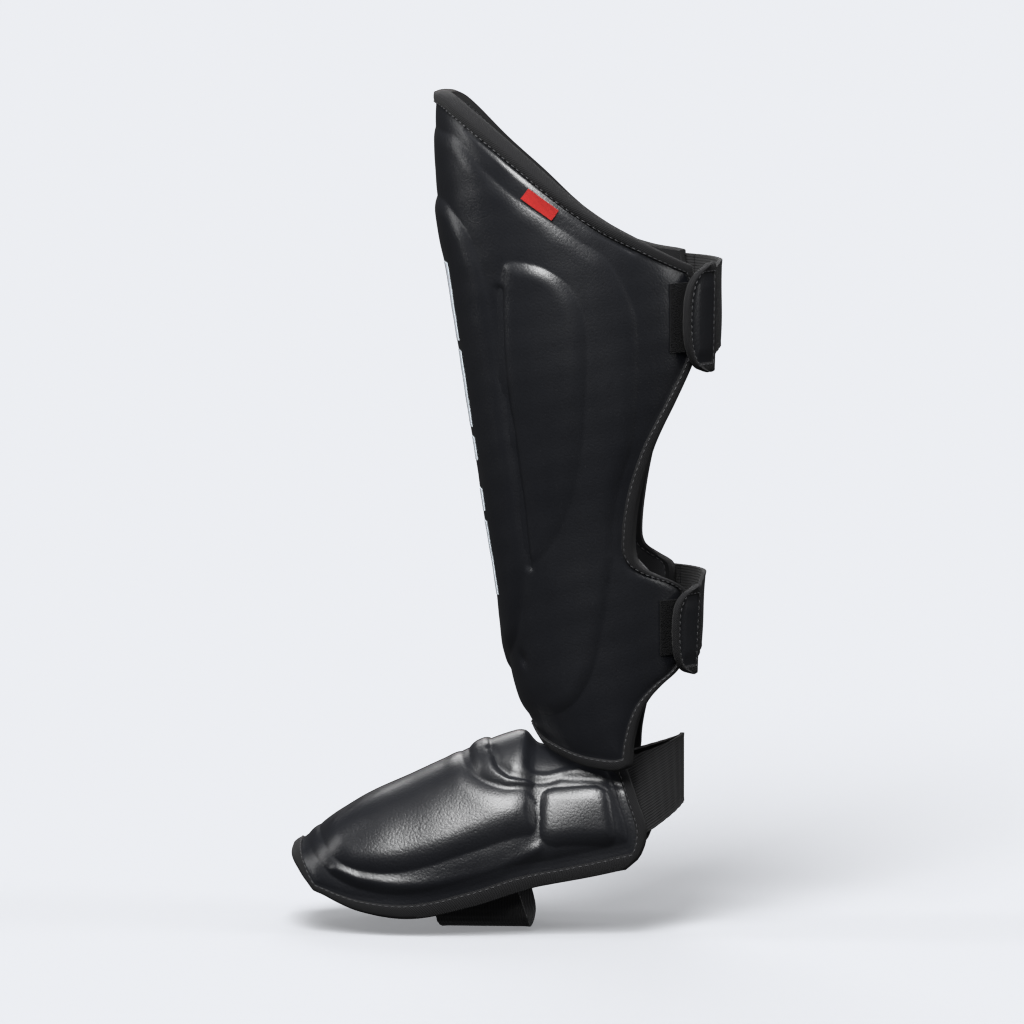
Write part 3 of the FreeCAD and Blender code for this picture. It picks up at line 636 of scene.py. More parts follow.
def border_loop(count_u, count_v):
    """(u, v) round the four edges of a wall, in order."""
    across, up = np.linspace(-1, 1, count_u), np.linspace(0, 1, count_v)
    sides = [(across, 0 * across), (0 * up + 1, up), (across[::-1], 0 * across + 1), (0 * up - 1, up[::-1])]
    return np.concatenate([np.stack([u[:-1], v[:-1]], -1) for u, v in sides])


def folded_tape(name, outer, inner, lap_u, lap_v, counts, body, replaced, thick=TAPE, puff=0.5):
    """Tape folded round a wall's edge. outer and inner take (u, v, lift) and give points; lap_u and lap_v
    are the lap as shares of u and v, as functions of the place on the border."""
    u, v = border_loop(*counts).T
    du, dv = lap_u(u, v), lap_v(u, v)
    iu = np.clip(u, -1 + du, 1 - du)
    iv = np.clip(v, dv, 1 - dv)
    rows_over, rows_under = [], []
    for part in np.linspace(0, 1, 7):
        lift = thick * min(1.0, 0.35 + part * 4) + puff * math.sin(math.pi * part) * 0.8
        rows_over.append(outer(iu + (u - iu) * part, iv + (v - iv) * part, lift))
        rows_under.append(outer(iu + (u - iu) * part, iv + (v - iv) * part, 0.02))
    edge_out, edge_in = outer(u, v, 0.0), inner(u, v, 0.0)
    lap_out = outer(iu, iv, 0.0)
    away = edge_out - lap_out
    away /= np.linalg.norm(away, axis=-1, keepdims=True)
    through = edge_in - edge_out
    for part in np.linspace(0, 1, 7)[1:-1]:
        swell = math.sin(math.pi * part)
        rows_over.append(edge_out + through * part + away * (thick * (0.4 + 0.9 * swell ** 0.5)))
        rows_under.append(edge_out + through * part + away * 0.05 * swell)
    for part in np.linspace(1, 0, 6):
        lift = thick * min(1.0, 0.35 + part * 4)
        rows_over.append(inner(iu + (u - iu) * part, iv + (v - iv) * part, lift))
        rows_under.append(inner(iu + (u - iu) * part, iv + (v - iv) * part, 0.02))
    ring = np.stack(rows_over + rows_under[::-1], axis=1)
    n, m = ring.shape[:2]
    index = np.arange(n * m).reshape(n, m)
    ahead, across = np.roll(index, -1, axis=0), np.roll(index, -1, axis=1)
    faces = np.stack([index, ahead, np.roll(ahead, -1, axis=1), across], -1).reshape(-1, 4).tolist()
    run = np.concatenate([[0], np.cumsum(np.linalg.norm(np.diff(edge_out, axis=0), axis=-1))])
    wide = np.concatenate([[0], np.cumsum(np.linalg.norm(np.diff(ring, axis=1), axis=-1).mean(0))])
    uv = np.stack(np.broadcast_arrays(run[:, None], wide[None, :]), -1).reshape(-1, 2)
    made = finish_mesh(name, ring.reshape(-1, 3), faces, body, replaced, uv, 60)
    centre = ring.mean(axis=1, keepdims=True)
    normal = np.cross(np.roll(ring, -1, axis=0) - ring, np.roll(ring, -1, axis=1) - ring)
    if (normal * (ring - centre)).sum() < 0:
        made.data.flip_normals()
    return made, (iu, iv, du, dv, u, v)


def stitch_row(name, places, normals, body, material, length=2.8, gap=0.9, radius=0.24, closed=True):
    """A row of lockstitches: short threads that bow out of the face along a line of places."""
    if closed:
        places, normals = np.vstack([places, places[:1]]), np.vstack([normals, normals[:1]])
    run = np.concatenate([[0], np.cumsum(np.linalg.norm(np.diff(places, axis=0), axis=-1))])
    count = max(1, int(run[-1] / (length + gap)))
    points, faces = [], []
    sides = 6
    for k in range(count):
        at = (k + 0.5) * run[-1] / count + np.linspace(-length / 2, length / 2, 5)
        centre = np.stack([np.interp(at, run, places[:, i]) for i in range(3)], -1)
        out = np.stack([np.interp(at, run, normals[:, i]) for i in range(3)], -1)
        out /= np.linalg.norm(out, axis=-1, keepdims=True)
        way = centre[-1] - centre[0]
        way /= np.linalg.norm(way) + 1e-9
        across = np.cross(way, out)
        size = radius * np.array([0.35, 0.95, 1.0, 0.95, 0.35])[:, None]
        centre = centre + out * (radius * np.array([-0.7, 0.35, 0.7, 0.35, -0.7])[:, None])
        start = len(points)
        for j in range(5):
            for i in range(sides):
                turn = 2 * math.pi * i / sides
                points.append(centre[j] + (out[j] * math.cos(turn) + across[j] * math.sin(turn)) * size[j])
        for j in range(4):
            for i in range(sides):
                a, b = start + j * sides + i, start + j * sides + (i + 1) % sides
                faces.append([a, b, b + sides, a + sides])
        faces.append([start + i for i in range(sides)][::-1])
        faces.append([start + 4 * sides + i for i in range(sides)])
    uv = np.array(points)[:, [1, 2]]
    made = finish_mesh(name, points, faces, body, (), uv, 80)
    made.data.materials.append(material)
    return made


def thread_material(name, dark, light):
    """Twisted polyester thread, with the twist as fine slanting ridges and painted shade in the grooves between them.
    """
    made, tree, shader = start_material(name)
    place = add(tree, "ShaderNodeTexCoord").outputs["Object"]
    twist = add(tree, "ShaderNodeTexWave", {"Vector": place, "Scale": 900.0, "Distortion": 0.8}, bands_direction="DIAGONAL")
    # Painted shade: the colour darkens in the twist's grooves and lightens on its crests.
    tree.links.new(mixed(tree, twist.outputs["Fac"], dark, light), shader.inputs["Base Color"])
    tree.links.new(spread_of(tree, twist.outputs["Fac"], 0.45, 0.62), shader.inputs["Roughness"])
    bump(tree, shader, twist.outputs["Fac"], 0.4, 0.0001)
    return made


black_thread = thread_material("black_thread", (0.012, 0.012, 0.013, 1), (0.05, 0.05, 0.054, 1))


def shin_outer(u, v, lift):
    turn, height, length, wing = shin_place(u, v)
    return on_leg(turn, height, 0, -lift - shin_relief(turn, height, shin_to_edge(u, v, length, wing)))


def shin_inner(u, v, lift):
    turn, height = shin_place(u, v)[:2]
    return on_leg(turn, height, 1, lift)


shin_binding, (iu, iv, du, dv, bu, bv) = folded_tape(
    "shin_edge_binding",
    shin_outer,
    shin_inner,
    lambda u, v: 6.0 / (shin_place(u, v)[3] * LEG_RADIUS),
    lambda u, v: 6.0 / shin_place(u, v)[2],
    (151, 181),
    "shin",
    ["shin_edge_binding"],
)
shin_binding.data.materials.append(binding_weave)
share_in = 0.16
su, sv = iu + (bu - iu) * share_in, iv + (bv - iv) * share_in
lift_here = TAPE * 0.98 + 0.5 * math.sin(math.pi * share_in) * 0.8
seam = shin_outer(su, sv, lift_here)
stitch_row("shin_binding_stitches", seam, shin_outer(su, sv, lift_here + 1) - seam, "shin", black_thread)
seam = shin_inner(su, sv, TAPE)
stitch_row("shin_lining_stitches", seam, shin_inner(su, sv, TAPE + 1) - seam, "shin", black_thread)

# ---------------------------------------------------------------- print and tag
# Plain white bars are screen-printed down the shin bone, and a small woven label, plain red, is caught
# under the binding of the top edge.

bar_print, tree, shader = start_material("bar_print")
grain = use(tree, leather_grain)
specks = scaled_noise(tree, add(tree, "ShaderNodeTexCoord").outputs["Object"], 1400.0, 4.0, 0.7)
worn_white = mixed(tree, spread_of(tree, specks, 0, 0.5, 0.62, 0.75), (0.70, 0.75, 0.80, 1), (0.30, 0.33, 0.36, 1))
tree.links.new(worn_white, shader.inputs["Base Color"])
tree.links.new(spread_of(tree, grain["Blotches"], 0.38, 0.5), shader.inputs["Roughness"])
bump(tree, shader, grain["Height"], 0.35, 0.00010)

STRIPES = [(100, 143), (149, 162), (178.6, 192), (198, 242), (248, 293)]
STRIPE_TURN, FILM = 0.295, 0.22
all_points, all_faces, all_uv = [], [], []
for low, high in STRIPES:
    t, z = grid_pair(np.linspace(-STRIPE_TURN, STRIPE_TURN, 41), np.linspace(low, high, 41))
    lift = shin_relief(t, z, np.full(t.shape, 80.0))
    for skin_lift, way in ((FILM, 1), (-0.1, -1)):
        start = sum(len(p) for p in all_points)
        points = on_leg(t, z, 0, -lift - skin_lift)
        index = start + np.arange(t.size).reshape(t.shape)
        quads = np.stack([index[:-1, :-1], index[1:, :-1], index[1:, 1:], index[:-1, 1:]], -1).reshape(-1, 4)
        all_faces += (quads if way > 0 else quads[:, ::-1]).tolist()
        all_points.append(points.reshape(-1, 3))
        all_uv.append(grid_uv(points))
    n = t.size
    over, under = index - n, index
    for top, low_row in ((over[:, 0], under[:, 0]), (over[-1], under[-1]), (over[::-1, -1], under[::-1, -1]), (over[0, ::-1], under[0, ::-1])):
        all_faces += np.stack([top[1:], top[:-1], low_row[:-1], low_row[1:]], -1).tolist()
bars = finish_mesh(
    "spine_stripes", np.vstack(all_points), all_faces, "shin", ["spine_stripes"], np.vstack(all_uv)
)
bars.data.materials.append(bar_print)

tag_weave = weave_material("tag_weave", (0.19, 0.006, 0.005, 1), (0.31, 0.013, 0.010, 1), 2200.0, 0.05)
a, b = grid_pair(np.linspace(0, 1, 25), np.linspace(0, 1, 13))
tag_y, tag_z = -40.5 + 17.5 * a + 4 * b, 333.5 - 12.3 * a + 5.8 * b
tag_turn = turn_to(tag_y, tag_z)
tag_lift = shin_relief(tag_turn, tag_z, np.full(a.shape, 16.0)).max() + 0.3
curl = tag_lift + 0.9 * (1 - b) ** 2 + 0.25 * np.sin(a * 5)
edge_tag = closed_sheet(
    "edge_tag",
    on_leg(tag_turn, tag_z, 0, -curl - 0.55),
    on_leg(tag_turn, tag_z, 0, -curl),
    "shin",
    ["edge_tag"],
)
edge_tag.data.materials.append(tag_weave)

# ---------------------------------------------------------------- calf straps
# Each strap is a knitted elastic, box-stitched to the medial wing, that goes round behind the calf to a
# padded tab. The tab is leather over a backing, bound with tape; its hook patch grips a loop patch
# sewn on the lateral ear.


def elastic_material(name, dark, light, ribs_per_metre, across_ribs):
    """Knitted elastic: fine ribs along the band, crossed by the rubber's short wrinkles, with painted shade where they
    dip.
    """
    made, tree, shader = start_material(name)
    lay = add(tree, "ShaderNodeSeparateXYZ", {0: add(tree, "ShaderNodeUVMap", uv_map="lay").outputs[0]})
    along_band, across_band = lay.outputs[0], lay.outputs[1]
    ribs = math_of(tree, "SINE", math_of(tree, "MULTIPLY", across_band, 2 * math.pi * ribs_per_metre))
    knit = math_of(tree, "SINE", math_of(tree, "MULTIPLY", along_band, 2 * math.pi * across_ribs))
    fuzz = scaled_noise(tree, add(tree, "ShaderNodeTexCoord").outputs["Object"], 2000.0, 3.0, 0.7)
    height = math_of(tree, "MULTIPLY_ADD", math_of(tree, "MULTIPLY", ribs, knit), 0.6, ribs)
    height = math_of(tree, "MULTIPLY_ADD", fuzz, 0.7, height)
    # Painted shade: the colour darkens in the ribs' and wrinkles' dips, with the fuzz as random tone.
    tree.links.new(mixed(tree, spread_of(tree, height, 0, 1, -0.8, 1.6), dark, light), shader.inputs["Base Color"])
    tree.links.new(spread_of(tree, fuzz, 0.75, 0.95), shader.inputs["Roughness"])
    shader.inputs["Specular IOR Level"].default_value = 0.25
    shader.inputs["Sheen Weight"].default_value = 0.06
    bump(tree, shader, height, 0.6, 0.0003)
    return made


band_elastic = elastic_material("band_elastic", (0.003, 0.003, 0.0033, 1), (0.008, 0.008, 0.0086, 1), 620.0, 900.0)


def pile_material(name, dark, light, per_metre, depth):
    """Hook or loop patch: a dense field of small tufts, with painted shade between them."""
    made, tree, shader = start_material(name)
    place = add(tree, "ShaderNodeTexCoord").outputs["Object"]
    tufts = add(tree, "ShaderNodeTexVoronoi", {"Vector": place, "Scale": per_metre}).outputs["Distance"]
    fuzz = scaled_noise(tree, place, per_metre * 2, 3.0, 0.7)
    height = math_of(tree, "MULTIPLY_ADD", fuzz, 0.5, math_of(tree, "SUBTRACT", 1.0, tufts))
    # Painted shade: the colour darkens between the tufts, with the fuzz as random tone.
    tree.links.new(mixed(tree, spread_of(tree, height, 0, 1, 0.4, 1.3), dark, light), shader.inputs["Base Color"])
    tree.links.new(spread_of(tree, fuzz, 0.85, 0.98), shader.inputs["Roughness"])
    shader.inputs["Specular IOR Level"].default_value = 0.12
    shader.inputs["Sheen Weight"].default_value = 0.01
    bump(tree, shader, height, 0.8, depth)
    return made


# The loop pile is the real black loop fabric; the strip of it left showing ahead of each tab is also painted shade,
# standing in for the tab's shadow.
loop_pile_and_shade = pile_material("loop_pile_and_shade", (0.002, 0.002, 0.0022, 1), (0.006, 0.006, 0.0065, 1), 1300.0, 0.0006)
hook_pile = pile_material("hook_pile", (0.006, 0.006, 0.0065, 1), (0.022, 0.022, 0.024, 1), 1000.0, 0.0007)
tab_leather = leather_material("tab_leather", (0.0050, 0.0055, 0.0070, 1), (0.0075, 0.0080, 0.0098, 1), 0.30, 0.00012)
backing_weave = weave_material("backing_weave", (0.006, 0.006, 0.0065, 1), (0.016, 0.016, 0.0175, 1), 1100.0)

LOOP_TOP, HOOK_UNDER, HOOK_TOP, BACKING_TOP, TAB_TOP, ELASTIC_TOP = 1.0, 1.3, 2.3, 3.5, 4.7, 3.1


def leg_rect(y0, y1, z0, z1, side, counts=(25, 25)):
    """(turn, height) over a patch between two places along Y and two heights."""
    a, b = grid_pair(np.linspace(0, 1, counts[0]), np.linspace(0, 1, counts[1]))
    height = z0 + (z1 - z0) * b
    return side * turn_to(y0 + (y1 - y0) * a, height), height


def cover_lift(turn, height):
    """The cover's own relief under something that is sewn on it."""
    return shin_relief(turn, height, np.full(np.shape(turn), TAPE_LAP + 6.0))


def calf_strap(name, free_end, band, seam, sewn, wing_end, loop, climb):
    low, high = free_end[0][0], free_end[-1][0]

    def tab_at(u, v, lift):
        """The tab over the ear: u from its free end to its seam, v up its height."""
        height = low + (high - low) * v
        start, end = turn_to(along(free_end, height), height), math.pi - seam
        flare = 1.6 * smooth(1 - u * 3.2)
        return on_leg(start + (end - start) * u, height, 0, -lift - flare)

    tab_body, band_body = f"{name}_tab", f"{name}_band"
    u, v = grid_pair(np.linspace(0, 1, 41), np.linspace(0, 1, 65))
    rim = np.minimum(np.minimum(u, 1.0) * 36, np.minimum(v, 1 - v) * (high - low))
    puff = 0.9 * smooth((rim - 5) / 9)
    face = closed_sheet(
        f"{name}_tab_face", tab_at(u, v, TAB_TOP + puff), tab_at(u, v, BACKING_TOP + 0.05), tab_body,
        [f"{name}_tab_face"], step=4,
    )
    face.data.materials.append(tab_leather)
    backing = closed_sheet(
        f"{name}_tab_backing", tab_at(u, v, BACKING_TOP - 0.05), tab_at(u, v, HOOK_TOP), tab_body,
        [f"{name}_tab_backing"], step=4,
    )
    backing.data.materials.append(backing_weave)
    hu, hv = 0.22 + 0.68 * u, 0.16 + 0.68 * v
    hook = closed_sheet(
        f"{name}_hook_patch", tab_at(hu, hv, HOOK_TOP - 0.02), tab_at(hu, hv, HOOK_UNDER), tab_body,
        [f"{name}_hook_patch"], step=4,
    )
    hook.data.materials.append(hook_pile)

    def tab_round(u, v, lift):
        return tab_at(np.clip((u + 1) / 2, 0, None), v, lift)

    tape, (iu, iv, _, _, bu, bv) = folded_tape(
        f"{name}_tab_binding",
        lambda u, v, lift: tab_round(u, v, TAB_TOP + lift),
        lambda u, v, lift: tab_round(u, v, HOOK_TOP - lift),
        lambda u, v: np.full(u.shape, 2 * 5.2 / 36),
        lambda u, v: np.full(u.shape, 5.2 / (high - low)),
        (61, 61),
        tab_body,
        [f"{name}_tab_binding"],
        0.7,
        0.4,
    )
    tape.data.materials.append(binding_weave)
    su, sv = iu + (bu - iu) * 0.2, iv + (bv - iv) * 0.2
    seam_line = tab_round(su, sv, TAB_TOP + 0.95)
    stitch_row(f"{name}_tab_stitches", seam_line, tab_round(su, sv, TAB_TOP + 2) - seam_line, tab_body, black_thread)

    s, t = grid_pair(np.linspace(0, 1, 97), np.linspace(0, 1, 33))
    height = band[0] + (band[1] - band[0]) * t + climb * smooth((1.05 - s) / 0.35)
    start, end = -turn_to(wing_end + 1.5, height), -math.pi - seam + 0.005
    turn = start + (end - start) * s
    ripple = 0.18 * np.sin(s * 70) * smooth(s * 8) + 0.25 * np.sin(t * 6.3)
    selvedge = 0.25 * smooth(1 - np.minimum(t, 1 - t) * 16)
    elastic = closed_sheet(
        f"{name}_elastic",
        on_leg(turn, height, 0, -(ELASTIC_TOP + ripple + selvedge)),
        on_leg(turn, height, 0, -(HOOK_UNDER + 0.2 + ripple - selvedge)),
        band_body,
        [f"{name}_elastic"],
        step=4,
    )
    elastic.data.materials.append(band_elastic)
    area = float(on_area(on_leg(turn, height, 0, -2.3)))

    root_low, root_high = band[0] + climb, band[1] + climb
    turn, height = leg_rect(sewn, wing_end + 1, root_low, root_high, -1, (41, 41))
    root = closed_sheet(
        f"{name}_root", on_leg(turn, height, 0, -(ELASTIC_TOP + 0.1 * np.sin(height))), on_leg(turn, height, 0, -TAPE - 0.2),
        "shin", [f"{name}_root"], step=4,
    )
    root.data.materials.append(band_elastic)
    near, far, base, tip = sewn + 3, sewn + 13, root_low + 5, root_high - 5
    path = [(near, base), (far, base), (far, tip), (near, tip), (near, base), (far, tip), (far, base), (near, tip)]
    path = np.concatenate([np.linspace(p, q, 12, endpoint=False) for p, q in zip(path, path[1:])] + [[path[-1]]])
    path_turn = -turn_to(path[:, 0], path[:, 1])
    line = on_leg(path_turn, path[:, 1], 0, -ELASTIC_TOP - 0.15)
    normals = on_leg(path_turn, path[:, 1], 0, -ELASTIC_TOP - 1.15) - line
    box = stitch_row(f"{name}_root_stitching", line, normals, "shin", black_thread, closed=False)
    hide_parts(f"{name}_root_stitching")

    # The loop patch reaches about 5 mm past the tab's free end: real loop fabric, and a dark strip of painted shade
    # beside the tab.
    turn, height = leg_rect(*loop, 1, (41, 41))
    nap = 0.12 * np.sin(turn * 400) * np.sin(height * 3.1)
    patch = closed_sheet(
        f"{name}_loop_patch",
        on_leg(turn, height, 0, -(LOOP_TOP + nap)),
        on_leg(turn, height, 0, 1.2),
        "shin",
        [f"{name}_loop_patch"],
        step=4,
    )
    patch.data.materials.append(loop_pile_and_shade)


def on_area(points):
    """The area of a grid of points."""
    one, two = points[1:, :-1] - points[:-1, :-1], points[:-1, 1:] - points[:-1, :-1]
    return np.linalg.norm(np.cross(one, two), axis=-1).sum()


calf_strap(
    "upper",
    free_end=[(232, 59), (235, 54.5), (240, 51.5), (250, 49), (265, 48.5), (280, 50), (288, 53.5), (294, 60)],
    band=(240, 290),
    seam=0.32,
    sewn=28,
    wing_end=51,
    loop=(43.5, 54, 244, 284),
    climb=4,
)
calf_strap(
    "lower",
    free_end=[(56, 51), (58.5, 47), (62, 44.5), (70, 42.5), (85, 42), (97, 43.5), (103, 47), (107, 53)],
    band=(60, 104),
    seam=0.32,
    sewn=20,
    wing_end=43.5,
    loop=(37.5, 47, 68, 100),
    climb=9,
)

# ---------------------------------------------------------------- foot cover
# The same leather, pressed over the foot shell's foam: a large pad over the toes' joints, a band over the
# instep and a block beside each ankle, on a body that stands above a thin flange.

# The foot's arches: place along Y, top, lower edge, half width, and the share of the full wall.
FOOT = [
    (-180, -49, -62, 27, 0.5),
    (-160, -37, -71, 41, 0.7),
    (-136, -22, -80.5, 48.5, 0.9),
    (-105, -7.5, -84, 52, 1.0),
    (-70, 9, -77, 51, 1.0),
    (-48, 17.2, -70, 49, 0.9),
    (-41, 16.4, -68, 48, 0.87),
    (-35, 11.6, -66, 47, 0.85),
    (-25, 11.4, -64, 46, 0.82),
    (0, 21, -59.5, 43.5, 0.75),
    (34, 32, -52, 40, 0.7),
]
TOE_END = [(0, -177.5), (0.35, -177), (0.6, -175), (0.8, -171.5), (0.92, -168), (1, -163)]
ANKLE_END = [(0, -4), (0.25, 6), (0.5, 17), (0.7, 24), (0.82, 28.5), (0.9, 28.5), (0.96, 25), (1, 18.5)]
FOOT_WALL, FOOT_ARC = 9.0, 78.0


def on_foot(u, y, share=0.0, inwards=0.0):
    """Points on the foot's arches: u runs from -1 at the medial lower edge to 1 at the lateral one."""
    u, y, inwards = np.broadcast_arrays(u, y, inwards)
    top, low, half = (along(FOOT, y, column) for column in (1, 2, 3))
    thick = FOOT_WALL * along(FOOT, y, 4) * share + inwards
    turn = u * math.pi / 2
    return np.stack([(half - thick) * np.sin(turn), y + 0.0 * top, low + (top - low - thick) * np.cos(turn)], axis=-1)


def foot_along(u, v):
    side = np.minimum(1.0, np.abs(u))
    toe, ankle = along(TOE_END, side), along(ANKLE_END, side)
    return toe + (ankle - toe) * v


def flat_foot(points):
    """Outline points (along Y, height) on the foot's side, as (along Y, arc from the top)."""
    out = []
    for y, z in points:
        top, low = float(along(FOOT, y, 1)), float(along(FOOT, y, 2))
        out.append((y, math.acos(max(-1.0, min(1.0, (z - low) / (top - low)))) / (math.pi / 2) * FOOT_ARC))
    return out


TOE_PAD = [(-162, -20), (-162.5, 6), *flat_foot([(-160, -42), (-156.5, -48), (-150, -53), (-141, -57.5)])]
TOE_PAD += flat_foot([(-124, -59.5), (-110, -58), (-89, -52.5), (-66, -44.5), (-52, -40), (-41, -37.5)])
TOE_PAD += flat_foot([(-33.5, -36), (-33.5, -24), (-35, -14), (-49, -12.8), (-60, -10.5), (-69, -7), (-76, -2)])
TOE_PAD += [(-80, 8), (-81, -20)]
BAND = [(-76, -20), (-75, 8), *flat_foot([(-71, -3), (-65, -7), (-57, -9.2), (-48, -11), (-36, -12)])]
BAND += flat_foot([(-34.5, -7.5), (-44, -6), (-50, -4.5), (-57, -0.5)]) + [(-63.5, 8), (-64, -20)]
ANKLE = flat_foot([(-31, -10.5), (-10, -9.5), (7.4, -9.5), (11, -26), (13.7, -44), (-8, -41.8), (-31, -43.5), (-32, -26)])
LEVEL = [(-170, -20), (-169.5, 14), *flat_foot([(-165, -50), (-155, -60), (-143, -66), (-130, -69.5)])]
LEVEL += flat_foot([(-110, -71.5), (-89.5, -69.5), (-70, -66), (-54.7, -61.7), (-43, -57), (-31.5, -51.8)])
LEVEL += flat_foot([(-18, -49), (0, -49), (17, -49.5), (20.5, -40), (19, -24)]) + [(30, 30), (30, -20)]
RIDGE = flat_foot([(-150, -58), (-136, -63), (-112, -66), (-89.5, -64.5), (-70, -60.5), (-54.7, -56), (-42, -50), (-32, -44.5)])
INSTEP_GROOVE = flat_foot([(-62.5, 8.2), (-57, 1), (-49.5, -3.5), (-43.6, -4.5), (-20, -5.2), (3, -6), (18, -7)])


def foot_relief(u, y, to_edge):
    arc = np.abs(u) * FOOT_ARC
    level = np.minimum(depth_inside(y, arc, rounded_loop(LEVEL)), to_edge - TAPE_LAP - 2)
    under_rim = smooth((y + 43) / 5) * smooth((34 - arc) / 6)
    lift = 1.9 * shoulder(level, 7) * (1 - under_rim)
    lift += 3.1 * shoulder(depth_inside(y, arc, rounded_loop(TOE_PAD)), 10)
    lift -= 2.6 * np.exp(-((arc / 20) ** 2)) * smooth((y + 168) / 14) * smooth((-78 - y) / 12)
    lift += 2.3 * shoulder(depth_inside(y, arc, rounded_loop(BAND)), 5)
    lift += 2.4 * shoulder(depth_inside(y, arc, rounded_loop(ANKLE, 2)), 7)
    lift += 1.0 * np.exp(-((depth_from_line(y, arc, RIDGE) / 2.6) ** 2))
    lift -= 1.2 * np.exp(-((depth_from_line(y, arc, INSTEP_GROOVE) / 2.4) ** 2))
    lift -= 0.8 * np.exp(-np.maximum(to_edge - TAPE_LAP, 0) / 4)
    return lift + 0.15 * np.sin(y / 7 + arc / 13) * np.sin(arc / 9 - y / 21)


def foot_to_edge(u, v):
    u, v = np.clip(u, -1, 1), np.clip(v, 0, 1)
    return np.minimum((1 - np.abs(u)) * FOOT_ARC, np.minimum(v, 1 - v) * 185)


def foot_outer(u, v, lift=0.0):
    y = foot_along(u, v)
    return on_foot(u, y, 0, -lift - foot_relief(u, y, foot_to_edge(u, v)))


def foot_inner(u, v, lift=0.0):
    return on_foot(u, foot_along(u, v), 1, lift)


foot_leather = leather_material("foot_leather", (0.0045, 0.0050, 0.0066, 1), (0.0070, 0.0076, 0.0094, 1), 0.30, 0.00018)
count = 273
uu, vv = grid_pair(np.linspace(-1, 1, count), np.linspace(0, 1, count))
foot_cover = closed_sheet(
    "foot_cover", foot_outer(uu, vv), foot_outer(uu, vv, -SKIN), "foot", ["foot_cover"], step=8
)
foot_cover.data.materials.append(foot_leather)

# ---------------------------------------------------------------- foot foams, lining and binding
# One foam arch with four blocks on it, lined with the same knit, and bound all round with the same tape.

uu, vv = grid_pair(np.linspace(-0.985, 0.985, 49), np.linspace(0.012, 0.988, 49))
arch = closed_sheet(
    "foot_foam",
    on_foot(uu, foot_along(uu, vv), 0, SKIN + 1.9),
    on_foot(uu, foot_along(uu, vv), 1, -LINING - 0.1),
    "foot",
    ["foot_foam"],
)
arch.data.materials.append(soft_foam)
uu, vv = grid_pair(np.linspace(-1, 1, 97), np.linspace(0, 1, 97))
puff = 0.3 * np.sin(uu * 11 + vv * 9) * np.sin(vv * 17)
foot_lining = closed_sheet(
    "foot_lining", foot_inner(uu, vv, -LINING + puff), foot_inner(uu, vv, puff), "foot", ["foot_lining"], step=4
)
foot_lining.data.materials.append(lining_knit)


def foot_block(name, u_range, front, rear, slant):
    """A foam block under the foot cover's relief; its ends slant back down the sides."""
    s, t = grid_pair(np.linspace(*u_range, 41), np.linspace(0, 1, 41))
    back_off = 26 * smooth(np.abs(s))
    start, end = front + back_off * slant[0], rear + back_off * slant[1]
    y = start + (end - start) * t
    lift = np.maximum(foot_relief(s, y, np.full(s.shape, 40.0)) - 0.3, -0.6)
    block = closed_sheet(name, on_foot(s, y, 0, SKIN - lift), on_foot(s, y, 0, SKIN + 1.7), "foot", [name])
    block.data.materials.append(dense_foam)


foot_block("toe_pad", (-0.74, 0.74), -158, -82, (0, 1))
foot_block("instep_pad", (-0.55, 0.55), -73, -66, (0.9, 0.9))
foot_block("lateral_ankle_pad", (0.56, 0.86), -28, 6, (0, 0))
foot_block("medial_ankle_pad", (-0.86, -0.56), -28, 6, (0, 0))

foot_binding, (iu, iv, du, dv, bu, bv) = folded_tape(
    "foot_edge_binding",
    foot_outer,
    foot_inner,
    lambda u, v: np.full(u.shape, 5.0 / FOOT_ARC),
    lambda u, v: 5.0 / (along(ANKLE_END, np.abs(u)) - along(TOE_END, np.abs(u))),
    (121, 131),
    "foot",
    ["foot_edge_binding"],
)
foot_binding.data.materials.append(binding_weave)
su, sv = iu + (bu - iu) * share_in, iv + (bv - iv) * share_in
seam = foot_outer(su, sv, lift_here)
stitch_row("foot_binding_stitches", seam, foot_outer(su, sv, lift_here + 1) - seam, "foot", black_thread)
seam = foot_inner(su, sv, TAPE)
stitch_row("foot_lining_stitches", seam, foot_inner(su, sv, TAPE + 1) - seam, "foot", black_thread)

# ---------------------------------------------------------------- ankle gusset
# A knit flap, sewn inside the shin shell's rim and inside the foot shell's ankle end. It keeps the two
# together; it is shaped once, with a little slack.

GUSSET_TURN, GUSSET_TOP = 1.5, 44.0
s, t = grid_pair(np.linspace(-1, 1, 61), np.linspace(0, 1, 25))
slack = np.sin(math.pi * t)[..., None]


def gusset_face(inwards):
    top = on_leg(s * GUSSET_TURN, np.full(s.shape, GUSSET_TOP), 1, 1.2 + inwards)
    bottom = foot_inner(s * 0.86, np.full(s.shape, 0.955), 1.4 + inwards)
    tuck = np.stack([-np.sin(s * 1.4), np.cos(s * 1.4) * 0.7, 0 * s - 0.2], -1) * slack * 3.0
    return top + (bottom - top) * smooth(t)[..., None] + tuck


gusset = closed_sheet("ankle_gusset", gusset_face(0.0), gusset_face(1.2), None, ["ankle_gusset"])
gusset.data.materials.append(lining_knit)
gusset_area = float(on_area(gusset_face(0.6))) * MM * MM
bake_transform(gusset)

# ---------------------------------------------------------------- foot elastics
# One elastic goes behind the heel, folded flat at the back, and one under the sole. Their ends are sewn
# inside the foot shell.

ELASTIC = 1.6
# Half of the sole band's path from the middle outwards, as (share of the half path, X, Z), and its ends.
SOLE_PATH = [(0, 0, -94), (0.3, 16, -93.3), (0.55, 29, -90), (0.8, 36.5, -81), (1, 38.4, -69)]
SOLE_FRONT, SOLE_REAR = [(-95, -88.5), (-87, -92), (-64, -92)], [(-95, -38.5), (-88, -39), (-64, -46)]
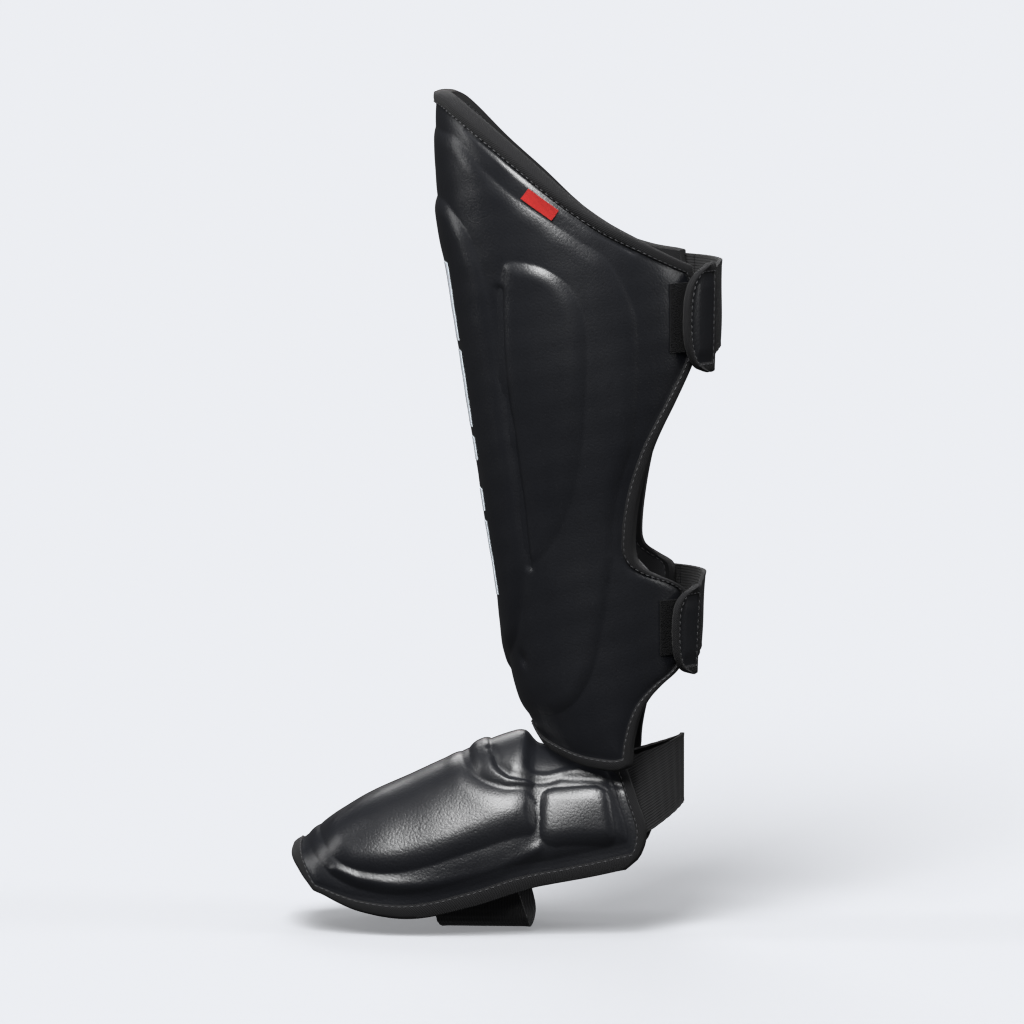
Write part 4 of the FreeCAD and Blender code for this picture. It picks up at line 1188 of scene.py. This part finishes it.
# The heel band folds at the back. From there to its sewn ends, as shares: (of the path, across, forwards).
HEEL_PATH = [(0, 0, 0), (0.12, 0.15, 0.025), (0.35, 0.45, 0.18), (0.7, 0.84, 0.56), (1, 1, 1)]
HEEL_FOLD_Y, HEEL_FOLD_LOW, HEEL_FOLD_HIGH = 49.5, -21.0, 18.6


def outwards(points):
    """Unit normals of a grid of points."""
    normal = np.cross(np.gradient(points, axis=0), np.gradient(points, axis=1))
    return normal / (np.linalg.norm(normal, axis=-1, keepdims=True) + 1e-12)


s, t = grid_pair(np.linspace(-1, 1, 129), np.linspace(0, 1, 41))
selvedge = 0.2 * smooth(1 - np.minimum(t, 1 - t) * 16)
ripple = 0.15 * np.sin(s * 60)


side = np.abs(s)
end = on_foot(0.9 - 0.52 * t, 15 - 17 * t, 1, 0.4)
across, forwards = along(HEEL_PATH, side, 1), np.maximum(along(HEEL_PATH, side, 2), 0)
fold = HEEL_FOLD_LOW + (HEEL_FOLD_HIGH - HEEL_FOLD_LOW) * t
heel_y = HEEL_FOLD_Y + (end[..., 1] - HEEL_FOLD_Y) * forwards
heel_z = fold + (end[..., 2] - fold) * forwards ** 0.8
heel = np.stack([end[..., 0] * across * np.sign(s), heel_y, heel_z], -1)
x, z = along(SOLE_PATH, side, 1) * np.sign(s), along(SOLE_PATH, side, 2)
front, rear = along(SOLE_FRONT, z), along(SOLE_REAR, z)
sole = np.stack([x, front + (rear - front) * t, z], -1)
heel_in, sole_in = outwards(heel), outwards(sole)


def heel_face(inwards):
    return heel + heel_in * np.asarray(inwards + 0.0 * s)[..., None]


def sole_face(inwards):
    return sole + sole_in * np.asarray(inwards + 0.0 * s)[..., None]


for name, face, rests in (("heel_elastic", heel_face, "foot_lining"), ("sole_elastic", sole_face, "foot_lining")):
    elastic = closed_sheet(
        name, face(-selvedge + ripple), face(ELASTIC + selvedge + ripple), "foot", [name], step=4
    )
    elastic.data.materials.append(band_elastic)
    area = float(on_area(face(ELASTIC / 2))) * MM * MM
